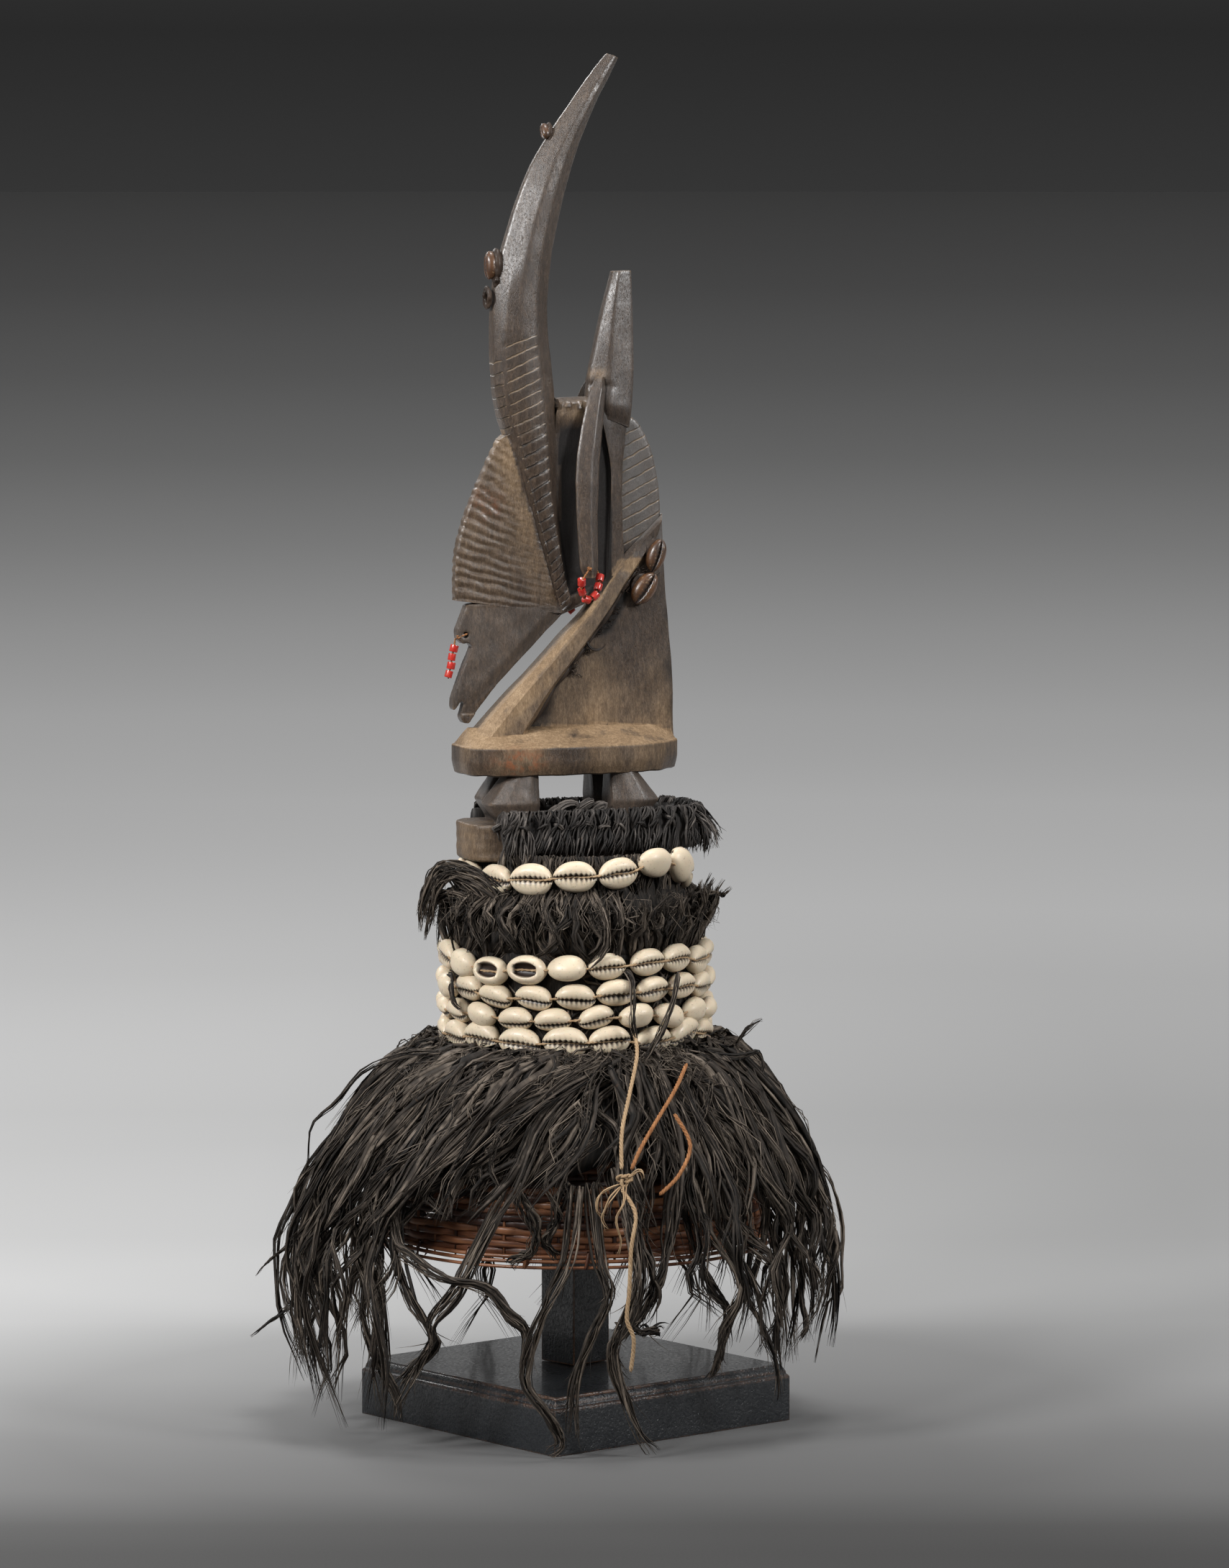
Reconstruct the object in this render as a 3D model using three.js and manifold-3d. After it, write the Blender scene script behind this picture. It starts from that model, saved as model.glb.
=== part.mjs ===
// An antelope headdress on its display stand: a carved wooden figure on a basketry cap,
// dressed with knotted fibre, strings of cowrie shells and a fibre skirt.
// Millimetres, +Z up. Origin: centre of the stand's underside. The figure's middle plane is
// the plane y = 0 and its head looks along -X.
import * as THREE from "three";
import { mergeVertices } from "three/addons/utils/BufferGeometryUtils.js";
import Module from "manifold-3d";

const wasm = await Module();
wasm.setup();

// Driving sizes
const GAP = 0.3;                 // play between pieces that touch
const STAND_TURN = 20;           // degrees, stand against the figure's middle plane
const BASE_SIDE = 150;
const BASE_HEIGHT = 28;
const BASE_MOULDING = 3.3;       // how far the top face is set in
const POST_SIDE = 23.7;
const POST_TURN = 23;
const RIM_Z = 92;                // lower edge of the cap
const RIM_RADIUS = 97;
const CAP_WALL = 5;
const CROWN_Z = 278.5;           // top of the cap
const BLOCK_BOTTOM = CROWN_Z + GAP;
const BLOCK_TOP = 297;
const BLOCK_FRONT = -58;
const BLOCK_REAR = 53;
const BLOCK_HALF_WIDTH = 23;
const BLOCK_SIDES = 16;
const BODY_BOTTOM = 320.5;       // underside of the animal's body
const BODY_EDGE_TOP = 334.5;
const BODY_RIDGE = 342;
const LEG_SPREAD = 12.5;         // legs, to either side of the middle plane
const EAR_THICKNESS = 5;
const EAR_TIP = [0.6, 16.9, 421];  // hole for the bead string
const HORN_RIBS = 23;
const RIBBED_SHARE = 0.45;
const FAN_RIDGES = 13;
const MANE_GROOVES = 10;
const SKIRT_SIDES = 28;
const LOCKS = 16;                // hanging locks of the skirt
const VIEW_SIDE = -110;          // degrees, bearing of the side that shows the head's near side
const AROUND = 22;               // sides of every ring on the cap
const CAP_LEVELS = 8;
const RIM_ROD = 2.5;             // cane that binds the cap's lower edge
const LEVELS_PER_SHELL = 3;
const BEAD_RADIUS = 1.9;
const BEAD_LENGTH = 3.9;
const THREAD_RADIUS = 0.5;
const TWINE_RADIUS = 1.1;
// Shells stuck on the wood: height, width, depth, tilt in degrees, place
const STUCK_SHELLS = {
  neck_cowrie_upper: [16.5, 9.5, 7.4, 20, new THREE.Vector3(39.8, -8, 425.5)],
  neck_cowrie_lower: [17.5, 10.5, 7.6, 36, new THREE.Vector3(33.4, -9, 409.5)],
  horn_cowrie: [14, 6.6, 9, 0, new THREE.Vector3(-44, 0, 567.4)],
  horn_cowrie_small: [8, 4.6, 6, 30, new THREE.Vector3(-15.6, 0, 632)],
};
const RESIN_SPOT = [-45, 0, 552];

const rad = THREE.MathUtils.degToRad;
const lerp = THREE.MathUtils.lerp;
const at = (x, y, z) => new THREE.Vector3(x, y, z);
const bearing = (degrees, radius, z) =>
  at(radius * Math.cos(rad(degrees)), radius * Math.sin(rad(degrees)), z);

// Turns every face outward: a negative volume means that the surface is inside out.
function facingOut(geometry) {
  const shape = geometry.index ? geometry : mergeVertices(geometry);
  const p = shape.attributes.position;
  const index = shape.index.array;
  const [a, b, c] = [at(0, 0, 0), at(0, 0, 0), at(0, 0, 0)];
  let volume = 0;
  for (let i = 0; i < index.length; i += 3) {
    a.fromBufferAttribute(p, index[i]);
    b.fromBufferAttribute(p, index[i + 1]);
    c.fromBufferAttribute(p, index[i + 2]);
    volume += a.dot(b.cross(c));
  }
  if (volume < 0) {
    for (let i = 0; i < index.length; i += 3) {
      [index[i], index[i + 1]] = [index[i + 1], index[i]];
    }
  }
  return shape;
}

// A closed surface as a solid for joining and cutting.
function solid(geometry) {
  const bare = new THREE.BufferGeometry();
  bare.setAttribute("position", geometry.attributes.position.clone());
  if (geometry.index) bare.setIndex(geometry.index.clone());
  const shape = facingOut(mergeVertices(bare, 1e-3));
  return new wasm.Manifold(new wasm.Mesh({
    numProp: 3,
    vertProperties: new Float32Array(shape.attributes.position.array),
    triVerts: new Uint32Array(shape.index.array),
  }));
}

function surface(body) {
  const mesh = body.getMesh();
  const geometry = new THREE.BufferGeometry();
  const points = new Float32Array(mesh.numVert * 3);
  for (let i = 0; i < mesh.numVert; i++) {
    for (let k = 0; k < 3; k++) points[3 * i + k] = mesh.vertProperties[mesh.numProp * i + k];
  }
  geometry.setAttribute("position", new THREE.BufferAttribute(points, 3));
  geometry.setIndex(new THREE.BufferAttribute(new Uint32Array(mesh.triVerts), 1));
  return geometry;
}

const joined = (bodies) => bodies.reduce((whole, body) => whole.add(body));
const without = (body, cuts) => body.subtract(joined(cuts));

// Skins a row of outlines that all have the same number of points. The grid is a cylinder's,
// so both ends are closed.
function loft(outlines) {
  const around = outlines[0].length;
  const steps = outlines.length - 1;
  const geometry = new THREE.CylinderGeometry(1, 1, 1, around, steps);
  const p = geometry.attributes.position;
  for (let i = 0; i < p.count; i++) {
    const outline = outlines[Math.round((p.getY(i) + 0.5) * steps)];
    const onAxis = Math.hypot(p.getX(i), p.getZ(i)) < 0.5;
    const turn = Math.atan2(p.getX(i), p.getZ(i)) / (2 * Math.PI);
    const k = ((Math.round(turn * around) % around) + around) % around;
    const point = onAxis
      ? outline.reduce((sum, q) => sum.add(q), at(0, 0, 0)).divideScalar(around)
      : outline[k];
    p.setXYZ(i, point.x, point.y, point.z);
  }
  return geometry;
}

// A tapering bar between a front line and a back line in the middle plane. levels is a count
// or the shares of its length. The section's points are [along, out]: along from -1 at the
// front line to 1 at the back line, out in half thicknesses.
function bar(front, back, levels, section, half) {
  const [front2, back2] = [front, back].map((line) => new THREE.SplineCurve(
    line.map(([x, z]) => new THREE.Vector2(x, z))));
  const shares = Array.isArray(levels) ? levels
    : Array.from({ length: levels + 1 }, (_, j) => j / levels);
  return loft(shares.map((t, k) => {
    const [f, b] = [front2.getPoint(t), back2.getPoint(t)];
    return section(t, k).map(([along, out]) =>
      at(lerp(f.x, b.x, (along + 1) / 2), out * half(t), lerp(f.y, b.y, (along + 1) / 2)));
  }));
}

// A board cut to an outline of [x, z] points, with bevelled edges. Its half thickness may
// change over the outline.
function board(outline, bevel, half) {
  const geometry = new THREE.ExtrudeGeometry(
    new THREE.Shape(outline.map(([x, z]) => new THREE.Vector2(x, z))),
    { depth: 1, bevelEnabled: bevel > 0, bevelThickness: 0.5, bevelSize: bevel,
      bevelOffset: -bevel, bevelSegments: 1, steps: 1 });
  geometry.translate(0, 0, -0.5).rotateX(Math.PI / 2);
  const p = geometry.attributes.position;
  for (let i = 0; i < p.count; i++) p.setY(i, p.getY(i) * half(p.getX(i), p.getZ(i)));
  return geometry;
}

const curve = (points, count) => new THREE.SplineCurve(
  points.map(([x, z]) => new THREE.Vector2(x, z))).getPoints(count).map((q) => [q.x, q.y]);

// A round or flat-sided cord through a list of points.
function cord(points, radius, sides, steps, closed = false) {
  const path = new THREE.CatmullRomCurve3(points, closed);
  const section = new THREE.Shape(Array.from({ length: sides }, (_, k) => new THREE.Vector2(
    radius * Math.cos(2 * Math.PI * k / sides), radius * Math.sin(2 * Math.PI * k / sides))));
  return new THREE.ExtrudeGeometry(section, { steps, extrudePath: path, bevelEnabled: false });
}

// Corner k of the block's rounded oblong plan, moved outward. Corner 0 and -1 are at the rear.
function blockPoint(k, out) {
  const turn = 2 * Math.PI * (k + 0.5) / BLOCK_SIDES;
  const squared = (v) => Math.sign(v) * Math.abs(v) ** 0.45;
  const half = (BLOCK_REAR - BLOCK_FRONT) / 2 + out;
  return at((BLOCK_REAR + BLOCK_FRONT) / 2 + half * squared(Math.cos(turn)),
    (BLOCK_HALF_WIDTH + out) * squared(Math.sin(turn)), 0);
}

// Carved figure: block, legs, body, neck and its panel, head, fans, horn, ears
function carvedFigure() {
  const block = solid(loft([[BLOCK_BOTTOM, -1.5], [BLOCK_BOTTOM + 3, 0], [BLOCK_TOP - 2, 0],
    [BLOCK_TOP, -1.5]].map(([z, out]) => Array.from({ length: BLOCK_SIDES }, (_, k) =>
    blockPoint(k, out).setZ(z)))));

  // Each leg is bent: its knee stands out towards the animal's front or rear.
  const leg = (inner, top, knee, foot, side) => {
    const levels = [[BLOCK_TOP - 1, foot, 8], [298.5, foot, 9], [307, knee, 11.5],
      [BODY_BOTTOM + 1, top, 8.5]];
    return solid(loft(levels.map(([z, outer, half]) => {
      const cut = 0.3 * (outer - inner);
      return [[inner, -half + 3], [inner, half - 3], [inner + cut, half], [outer - cut, half],
        [outer, half - 4], [outer, -half + 4], [outer - cut, -half], [inner + cut, -half]]
        .map(([x, y]) => at(x, side * LEG_SPREAD + y, z));
    })));
  };
  const legs = [leg(-25, -40, -51, -45, -1), leg(-24, -37, -46, -41, 1),
    leg(12, 26, 37, 30, -1), leg(11, 25, 35, 29, 1)];

  // The body is a boat-shaped plate with a worn top that rises to the neck and panel.
  const bodyOutline = curve([[-61, 0], [-60, 11], [-52, 19], [-37, 24], [-8, 25], [24, 22.5],
    [42, 14], [51, 5], [52.5, 0]], 10);
  const bodyLevel = (z, width, inset) => {
    const near = bodyOutline.slice(1, -1).map(([x, y]) => [x, -y]).reverse();
    return bodyOutline.concat(near).map(([x, y]) =>
      at(x + inset * (x < 0 ? 1 : -1), y * width, z));
  };
  const body = solid(loft([bodyLevel(BODY_BOTTOM, 0.9, 2.5), bodyLevel(BODY_BOTTOM + 4, 1, 0),
    bodyLevel(BODY_EDGE_TOP - 1.5, 1, 0), bodyLevel(BODY_EDGE_TOP, 0.96, 1),
    bodyLevel(BODY_EDGE_TOP + 4.2, 0.55, 3), bodyLevel(BODY_RIDGE + 1, 0.16, 6)]));

  const panel = solid(board([[-46, 336], [50.8, 336], [50.3, 351], [49.9, 369], [47.6, 394],
    [45.7, 414], [44.4, 443], [36, 436], [20, 415]], 0.8, (x) => (x > 30 ? 3.3 : 4.6)));

  const neck = solid(bar(
    [[-56, 337], [-37, 357], [-21, 372.6], [-7.5, 386.7], [6, 400.5], [13, 413], [25, 427], [44.5, 445.5]],
    [[-30, 337], [-16, 359], [-6, 372], [5.5, 386], [16, 400], [24, 412], [31, 421], [41, 434]], 8,
    () => [[-1, -0.55], [-1, 0.55], [-0.45, 1], [0.75, 1], [1, 0.8], [1, -0.8], [0.75, -1], [-0.45, -1]],
    (t) => 11 - 3.2 * t - 3 * Math.max(0, t - 0.75) * 4));

  // Head, hanging snout down: open mouth, nostril notch and the broken edge above it.
  const snout = solid(board([[8, 412], [3, 404.5], [-7.4, 398.3], [-22.7, 382.9], [-40.9, 364.4],
    [-50.1, 353.1], [-55.8, 345.4], [-58.6, 345.8], [-60.1, 348.8], [-58.5, 354.2],
    [-58.4, 358.2], [-60.4, 355.2], [-63.2, 351.4], [-64.2, 353.6], [-63.8, 357.5], [-61.6, 365],
    [-57.9, 373.7], [-55.2, 379.6], [-53.8, 383], [-55.6, 384.6], [-58.4, 384.2], [-61.4, 386.6],
    [-61.9, 390.9], [-59.7, 396.1], [-56.6, 403.4], [-40, 405], [-12, 404]], 1.1,
    (x) => lerp(4, 7.5, THREE.MathUtils.smoothstep(x, -64, 0))));
  const noseHole = solid(new THREE.CylinderGeometry(1.1, 1.1, 30, 8).translate(-57, 0, 388.6));

  // The front fan pleats from the horn's line out to a scalloped arc; the rear mane likewise.
  const pleated = (inner, outer, ridges, depth, scallop, thickInner, thickOuter) => {
    const [innerLine, outerLine] = [inner, outer].map((line) => curve(line, 2 * ridges));
    return solid(loft(innerLine.map(([xi, zi], k) => {
      const crest = k % 2;
      const [xo, zo] = outerLine[k];
      const reach = 1 + scallop * crest / Math.hypot(xo - xi, zo - zi);
      const [x, z] = [lerp(xi, xo, reach), lerp(zi, zo, reach)];
      const [thin, thick] = [thickOuter + depth * crest, thickInner + 0.6 * depth * crest];
      return [at(xi, -thick, zi), at(x, -thin, z), at(x, thin, z), at(xi, thick, zi)];
    })));
  };
  const frontFan = pleated([[-8, 398], [-14, 416], [-23, 448], [-32, 488]],
    [[-62.4, 405.4], [-62.6, 416], [-61.2, 432], [-55.8, 449.5], [-48.5, 466], [-40, 483]],
    FAN_RIDGES, 0.9, 0.7, 6, 3.3);

  const hornFront = [[-11, 397], [-23, 428], [-31, 455], [-37.5, 480], [-41.5, 502], [-43.2, 530],
    [-42.4, 557], [-36.4, 580], [-28.8, 602], [-19.8, 621], [-4.5, 643], [8.5, 660.5], [16.5, 669.5]];
  const hornBack = [[-2, 405], [-7, 428], [-9.8, 450], [-10.7, 478], [-12, 508], [-15, 538],
    [-14.4, 558], [-11.8, 578], [-6.4, 601], [-0.2, 621], [8, 641], [16, 656], [22, 667.5]];
  const hornHalf = (t) => 2.4 + 7.2 * Math.cos(Math.PI / 2 * Math.abs(t - 0.35) / 0.65);
  // Cross ribs up to nearly half its length, plain above. A rib is two levels of the skin.
  const ribbed = Array.from({ length: 2 * HORN_RIBS + 1 }, (_, k) => k / (2 * HORN_RIBS) * RIBBED_SHARE);
  const plain = Array.from({ length: 8 }, (_, k) => lerp(RIBBED_SHARE, 1, (k + 1) / 8));
  const hornLevels = [...ribbed, ...plain];
  const horn = solid(bar(hornFront, hornBack, hornLevels,
    (t, k) => {
      const rib = k < ribbed.length && k % 2 === 0 ? 0.87 : 1;
      return [[-1, -0.35], [-1, 0.35], [-0.66, 0.95 * rib], [0.66, rib], [rib, 0.45], [rib, -0.45],
        [0.66, -rib], [-0.66, -0.95 * rib]];
    }, hornHalf));

  // The mane's wall between horn and ears, with its rough bevelled top.
  const wall = solid(bar([[-12, 396], [-13, 430], [-13, 470], [-11, 503]],
    [[22, 410], [20, 440], [19, 475], [9, 503.5]], 5,
    () => [[-1, -1], [-1, 1], [1, 1], [1, -1]], (t) => (t > 0.9 ? 2.5 : 6.5)));

  const stem = solid(bar([[14, 408], [15.4, 440], [15.6, 470], [9, 500]],
    [[25, 416], [23, 447], [23.5, 472], [27, 502]], 4,
    () => [[-1, -1], [-1, 1], [1, 0.7], [1, -0.7]], (t) => 7 + t));
  const spike = solid(bar([[4.5, 496], [6.4, 513], [12.2, 540], [18.7, 564]],
    [[26.5, 488], [28.5, 513], [28.6, 540], [28.1, 564.3]], 4,
    (t) => [[-1, -0.3], [-1, 0.3], [lerp(-0.1, -0.5, t), 1], [1, 0.8], [1, -0.8], [lerp(-0.1, -0.5, t), -1]],
    (t) => lerp(10, 4.6, t)));
  const ear = (side) => solid(loft([[506, 11, 4.6, 7.5], [489, 6.4, 5.6, 10.4], [462, 1.5, 6, 13.8],
    [438, 0.4, 5.6, 15.8], [421, 0.6, 4.8, 16.8], [416, 1.6, 2.6, 17]].map(([z, x, half, out]) => {
    const thin = EAR_THICKNESS / 2;
    return [[-half, -0.5], [-half + 1.6, -thin], [half * 0.5, -thin], [half, -0.6],
      [half, 0.6], [half - 2, thin], [-half + 2, thin], [-half, 0.6]]
      .map(([dx, dy]) => at(x + dx, side * (out - dy), z));
  })));
  const earHole = (side) => solid(new THREE.CylinderGeometry(1.5, 1.5, 8, 6)
    .translate(EAR_TIP[0], side * EAR_TIP[1], EAR_TIP[2]));
  const ears = [-1, 1].map((side) => without(ear(side), [earHole(side)]));

  const mane = pleated([[16, 413], [19, 440], [20, 462], [20, 482]],
    [[43.5, 437], [44, 450], [42, 466], [37.6, 481], [31.5, 491.4], [25, 494]],
    MANE_GROOVES, 0.5, 0.2, 3, 2.6);

  const carved = joined([block, ...legs, body, panel, neck, without(snout, [noseHole]),
    frontFan, horn, wall, stem, spike, ...ears, mane]);
  // Seats of the shells that are stuck on
  return surface(without(carved, Object.values(STUCK_SHELLS).map(([high, wide, deep, tilt, spot]) =>
    solid(shellAt(high + 2 * GAP, wide + 2 * GAP, deep + 2 * GAP, tilt, spot)))));
}

// A closed ring round the cap from a profile of [radius, z] points. place() may move each
// point, given its radius, height and turn.
function ring(profile, around, place = (r, z) => [r, z]) {
  const geometry = new THREE.LatheGeometry(
    [...profile, profile[0]].map(([r, z]) => new THREE.Vector2(r, z)), around);
  geometry.rotateX(Math.PI / 2);
  const p = geometry.attributes.position;
  for (let i = 0; i < p.count; i++) {
    const turn = Math.atan2(p.getY(i), p.getX(i));
    const [r, z, dx = 0] = place(Math.hypot(p.getX(i), p.getY(i)), p.getZ(i), turn);
    p.setXYZ(i, r * Math.cos(turn) + dx, r * Math.sin(turn), z);
  }
  return geometry;
}

// Basketry cap: a bell of coils with a tall crown, hollow and open below
const capLine = new THREE.SplineCurve([[RIM_RADIUS, RIM_Z], [95.5, 118], [90, 138], [80, 157],
  [67, 172], [56.5, 187], [53, 205], [51.5, 232], [49, 256]]
  .map(([r, z]) => new THREE.Vector2(r, z)));
const capRadius = (z) => {
  let [low, high] = [0, 1];
  for (let i = 0; i < 30; i++) {
    const t = (low + high) / 2;
    if (capLine.getPoint(t).y < z) low = t; else high = t;
  }
  return capLine.getPoint(low).x;
};

function wickerCap() {
  const levels = Array.from({ length: CAP_LEVELS + 1 }, (_, k) => capLine.getPoint(k / CAP_LEVELS));
  const inside = levels.map((q) => new THREE.Vector2(q.x - CAP_WALL, q.y)).reverse();
  const crown = [[46.5, 270], [42, 276], [36, CROWN_Z], [0, CROWN_Z]];
  const hollowTop = [[0, CROWN_Z - CAP_WALL], [38, CROWN_Z - CAP_WALL]];
  const rim = [[RIM_RADIUS - CAP_WALL - 1, RIM_Z - RIM_ROD], [RIM_RADIUS + 0.8, RIM_Z - RIM_ROD]];
  const points = (list) => list.map(([r, z]) => new THREE.Vector2(r, z));
  return new THREE.LatheGeometry(
    [...points(hollowTop), ...inside, ...points(rim), ...levels, ...points(crown)], AROUND)
    .rotateX(Math.PI / 2);
}

// A collar of fibre knotted on a rope, round the block except at its bare front end
function fringeCollar() {
  const corner = (k, out) => blockPoint(k, out);
  const section = [[GAP + 0.5, 281.5], [GAP + 0.5, 299], [3, 303.4], [7, 303.6], [10, 299.5],
    [11.5, 290], [9.5, 281]];
  const outlines = [];
  for (let k = -6; k < 6; k += 0.5) {
    const whole = Math.floor(k);
    const lump = (2 * k) % 2 === 0 ? 0 : 1.2;
    outlines.push(section.map(([out, z], i) => {
      const a = corner(whole, out);
      const b = corner(whole + 1, out);
      const q = a.lerp(b, k - whole);
      const swell = i > 3 ? 1 + 0.02 * lump : 1;
      return at(q.x * swell, q.y * swell, z - (i > 4 ? lump : 0));
    }));
  }
  return loft(outlines);
}

// One string of shells, end to end: a ring that narrows to a waist where two shells touch
function cowrieString({ count, radius, z, high, deep, first }) {
  const [inner, outer] = [radius - deep / 2, radius + deep / 2];
  const profile = [[inner, z - 0.45 * high], [inner, z + 0.45 * high], [outer, z + 0.3 * high],
    [outer, z - 0.3 * high]];
  const waist = 0.2;
  return ring(profile, LEVELS_PER_SHELL * count, (r, height, turn) => {
    const level = Math.round((turn / (2 * Math.PI) + 0.25) * LEVELS_PER_SHELL * count);
    const share = level % LEVELS_PER_SHELL === 0 ? waist : 1;
    return [radius + (r - radius) * share, z + (height - z) * share];
  }).rotateZ(rad(first + 90 - 180 / count));
}

// The skirt: a bell of fibre that breaks up into hanging locks
function fibreSkirt() {
  const lean = (z) => -8 * THREE.MathUtils.clamp((184 - z) / 92, 0, 1.1);
  const shell = solid(ring([[capRadius(184) + 1.8, 184.6], [70, 174], [92, 156], [112, 119],
    [121, 116], [116, 140], [104, 160], [90, 174], [76, 183.5]], SKIRT_SIDES, (r, z, turn) => {
    const lockEdge = Math.cos(SKIRT_SIDES / 2 * turn);
    const wave = r > 75 && z < 183 ? 1.6 * lockEdge + 1.2 * Math.sin(5 * turn) : 0;
    return [r + wave, z < 120 ? z + 4 * lockEdge : z, lean(z)];
  }));
  const locks = Array.from({ length: LOCKS }, (_, k) => {
    const turn = 360 * (k + 0.3 * Math.sin(5 * k)) / LOCKS;
    const end = 5 + 26 * (0.5 + 0.5 * Math.sin(2.7 * k + 0.8)) + 12 * (k % 3 === 0);
    const spread = 134 + 4 * Math.sin(1.9 * k);
    const drift = 4 * Math.sin(3.1 * k);
    const line = [[111, 138, 0], [119, 120, 0], [spread, 92, 0.4], [spread - 1, 60, 0.7],
      [spread - 8, end, 1]];
    return solid(loft(line.map(([r, z, share], j) => {
      const wide = lerp(8.5, 2, j / 4);
      const thick = lerp(3.6, 1.5, j / 4);
      const middle = bearing(turn + drift * share, r, z).add(at(lean(z), 0, 0));
      const along = bearing(turn + 90, 1, 0);
      const out = bearing(turn, 1, 0);
      return [[-wide, -thick], [wide, -thick], [wide, thick], [-wide, thick]].map(([a, o]) =>
        middle.clone().addScaledVector(along, a).addScaledVector(out, o));
    })));
  });
  return surface(joined([shell, ...locks]));
}

// Beads on a thread: the thread is a closed loop, the beads short barrels along it
function beadLoop(loop, beads) {
  const thread = solid(cord(loop, THREAD_RADIUS, 3, Math.round(1.3 * loop.length), true));
  return surface(joined([thread, ...beads.map(([spot, axis]) => {
    const barrel = new THREE.CylinderGeometry(BEAD_RADIUS, BEAD_RADIUS, BEAD_LENGTH, 5);
    barrel.applyQuaternion(new THREE.Quaternion().setFromUnitVectors(at(0, 1, 0), axis.normalize()));
    return solid(barrel.translate(spot.x, spot.y, spot.z));
  })]));
}

const shellAt = (high, wide, deep, tilt, spot) => {
  const shell = new THREE.SphereGeometry(1, 6, 5).scale(wide / 2, deep / 2, high / 2);
  return shell.rotateY(rad(tilt)).translate(spot.x, spot.y, spot.z);
};

// Square stand: a plinth with a moulded top edge, and a post that carries the cap's crown
function squareStack(levels, turn) {
  return loft(levels.map(([half, z]) => [[-1, -1], [1, -1], [1, 1], [-1, 1]].map(([a, b]) =>
    at(half * a, half * b, z).applyAxisAngle(at(0, 0, 1), rad(turn)))));
}

const group = new THREE.Group();
function add(name, geometry, colour, roughness, metalness = 0) {
  const bare = new THREE.BufferGeometry();
  bare.setAttribute("position", geometry.attributes.position);
  if (geometry.index) bare.setIndex(geometry.index);
  const mesh = new THREE.Mesh(facingOut(mergeVertices(bare, 1e-3)),
    new THREE.MeshStandardMaterial({ color: colour, roughness, metalness, flatShading: true }));
  mesh.name = name;
  group.add(mesh);
}

const WOOD = 0x3b2a1d;
const FIBRE = 0x1d1814;
const SHELL = 0xd9ccb0;
const BEAD = 0xb01a16;
const LACQUER = 0x101012;
const TWINE = 0xa88358;

const side = BASE_SIDE / 2;
add("stand_base", squareStack([[side, 0], [side, 22], [side - 0.9, 23.4], [side - 1.2, 25],
  [side - 2.6, 26.6], [side - BASE_MOULDING, BASE_HEIGHT]], STAND_TURN), LACQUER, 0.3);
add("stand_post", squareStack([[POST_SIDE / 2, BASE_HEIGHT + GAP],
  [POST_SIDE / 2, CROWN_Z - CAP_WALL - GAP]], POST_TURN), LACQUER, 0.35);
add("carved_figure", carvedFigure(), WOOD, 0.5);
add("wicker_cap", wickerCap(), 0x6b3d24, 0.7);
add("fibre_band", ring([[capRadius(188) + 1.2, 188], [capRadius(239) + 1.2, 239], [57.4, 239],
  [57.6, 188]], AROUND), FIBRE, 0.95);
add("fibre_ruff", ring([[capRadius(240) + 0.8, 240], [capRadius(255) + 0.8, 260.5], [57, 260.5],
  [65.5, 253], [69.5, 240]], AROUND, (r, z, turn) =>
  [r > 56 ? r + 1.4 * Math.sin(14 * turn) : r, z]), FIBRE, 0.95);
add("fringe_collar", fringeCollar(), FIBRE, 0.95);
add("fibre_skirt", fibreSkirt(), FIBRE, 0.95);

const STRINGS = {
  cowrie_string_1: { count: 16, radius: 53, z: 270.2, high: 15, deep: 8.4, first: VIEW_SIDE },
  cowrie_string_2: { count: 20, radius: 63, z: 231.4, high: 13.4, deep: 9.2, first: VIEW_SIDE - 3 },
  cowrie_string_3: { count: 20, radius: 63, z: 217.7, high: 12.6, deep: 9.2, first: VIEW_SIDE },
  cowrie_string_4: { count: 20, radius: 63, z: 206, high: 10, deep: 9.2, first: VIEW_SIDE - 9 },
  cowrie_string_5: { count: 18, radius: 63.6, z: 193.2, high: 14.8, deep: 9.6, first: VIEW_SIDE - 4 },
};
for (const [name, sizes] of Object.entries(STRINGS)) add(name, cowrieString(sizes), SHELL, 0.35);

for (const [name, sizes] of Object.entries(STUCK_SHELLS)) add(name, shellAt(...sizes), SHELL, 0.4);
add("resin_ring", new THREE.TorusGeometry(3.6, 1.3, 5, 8).rotateY(Math.PI / 2)
  .translate(...RESIN_SPOT), 0x201510, 0.3);

// Glass beads: one short string through the nostril, one through each ear's tip
const alongLine = (points) => points.map((q, k) => [q,
  points[Math.min(k + 1, points.length - 1)].clone().sub(points[Math.max(k - 1, 0)])]);
const noseBeads = [[-62.3, 382], [-63.4, 377.9], [-63.8, 373.7], [-65, 369.6]]
  .map(([x, z]) => at(x, 0, z));
add("nose_beads", beadLoop([at(-65.2, 0, 367.4), ...noseBeads.slice().reverse(),
  at(-62.6, -3.2, 386), at(-60, -5.4, 388.6), at(-57, -5.2, 388.7), at(-57, 0, 388.6),
  at(-57, 5.2, 388.7), at(-60, 5.4, 388.6), at(-64.2, 3.4, 385)],
  alongLine(noseBeads)), BEAD, 0.25);

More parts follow.
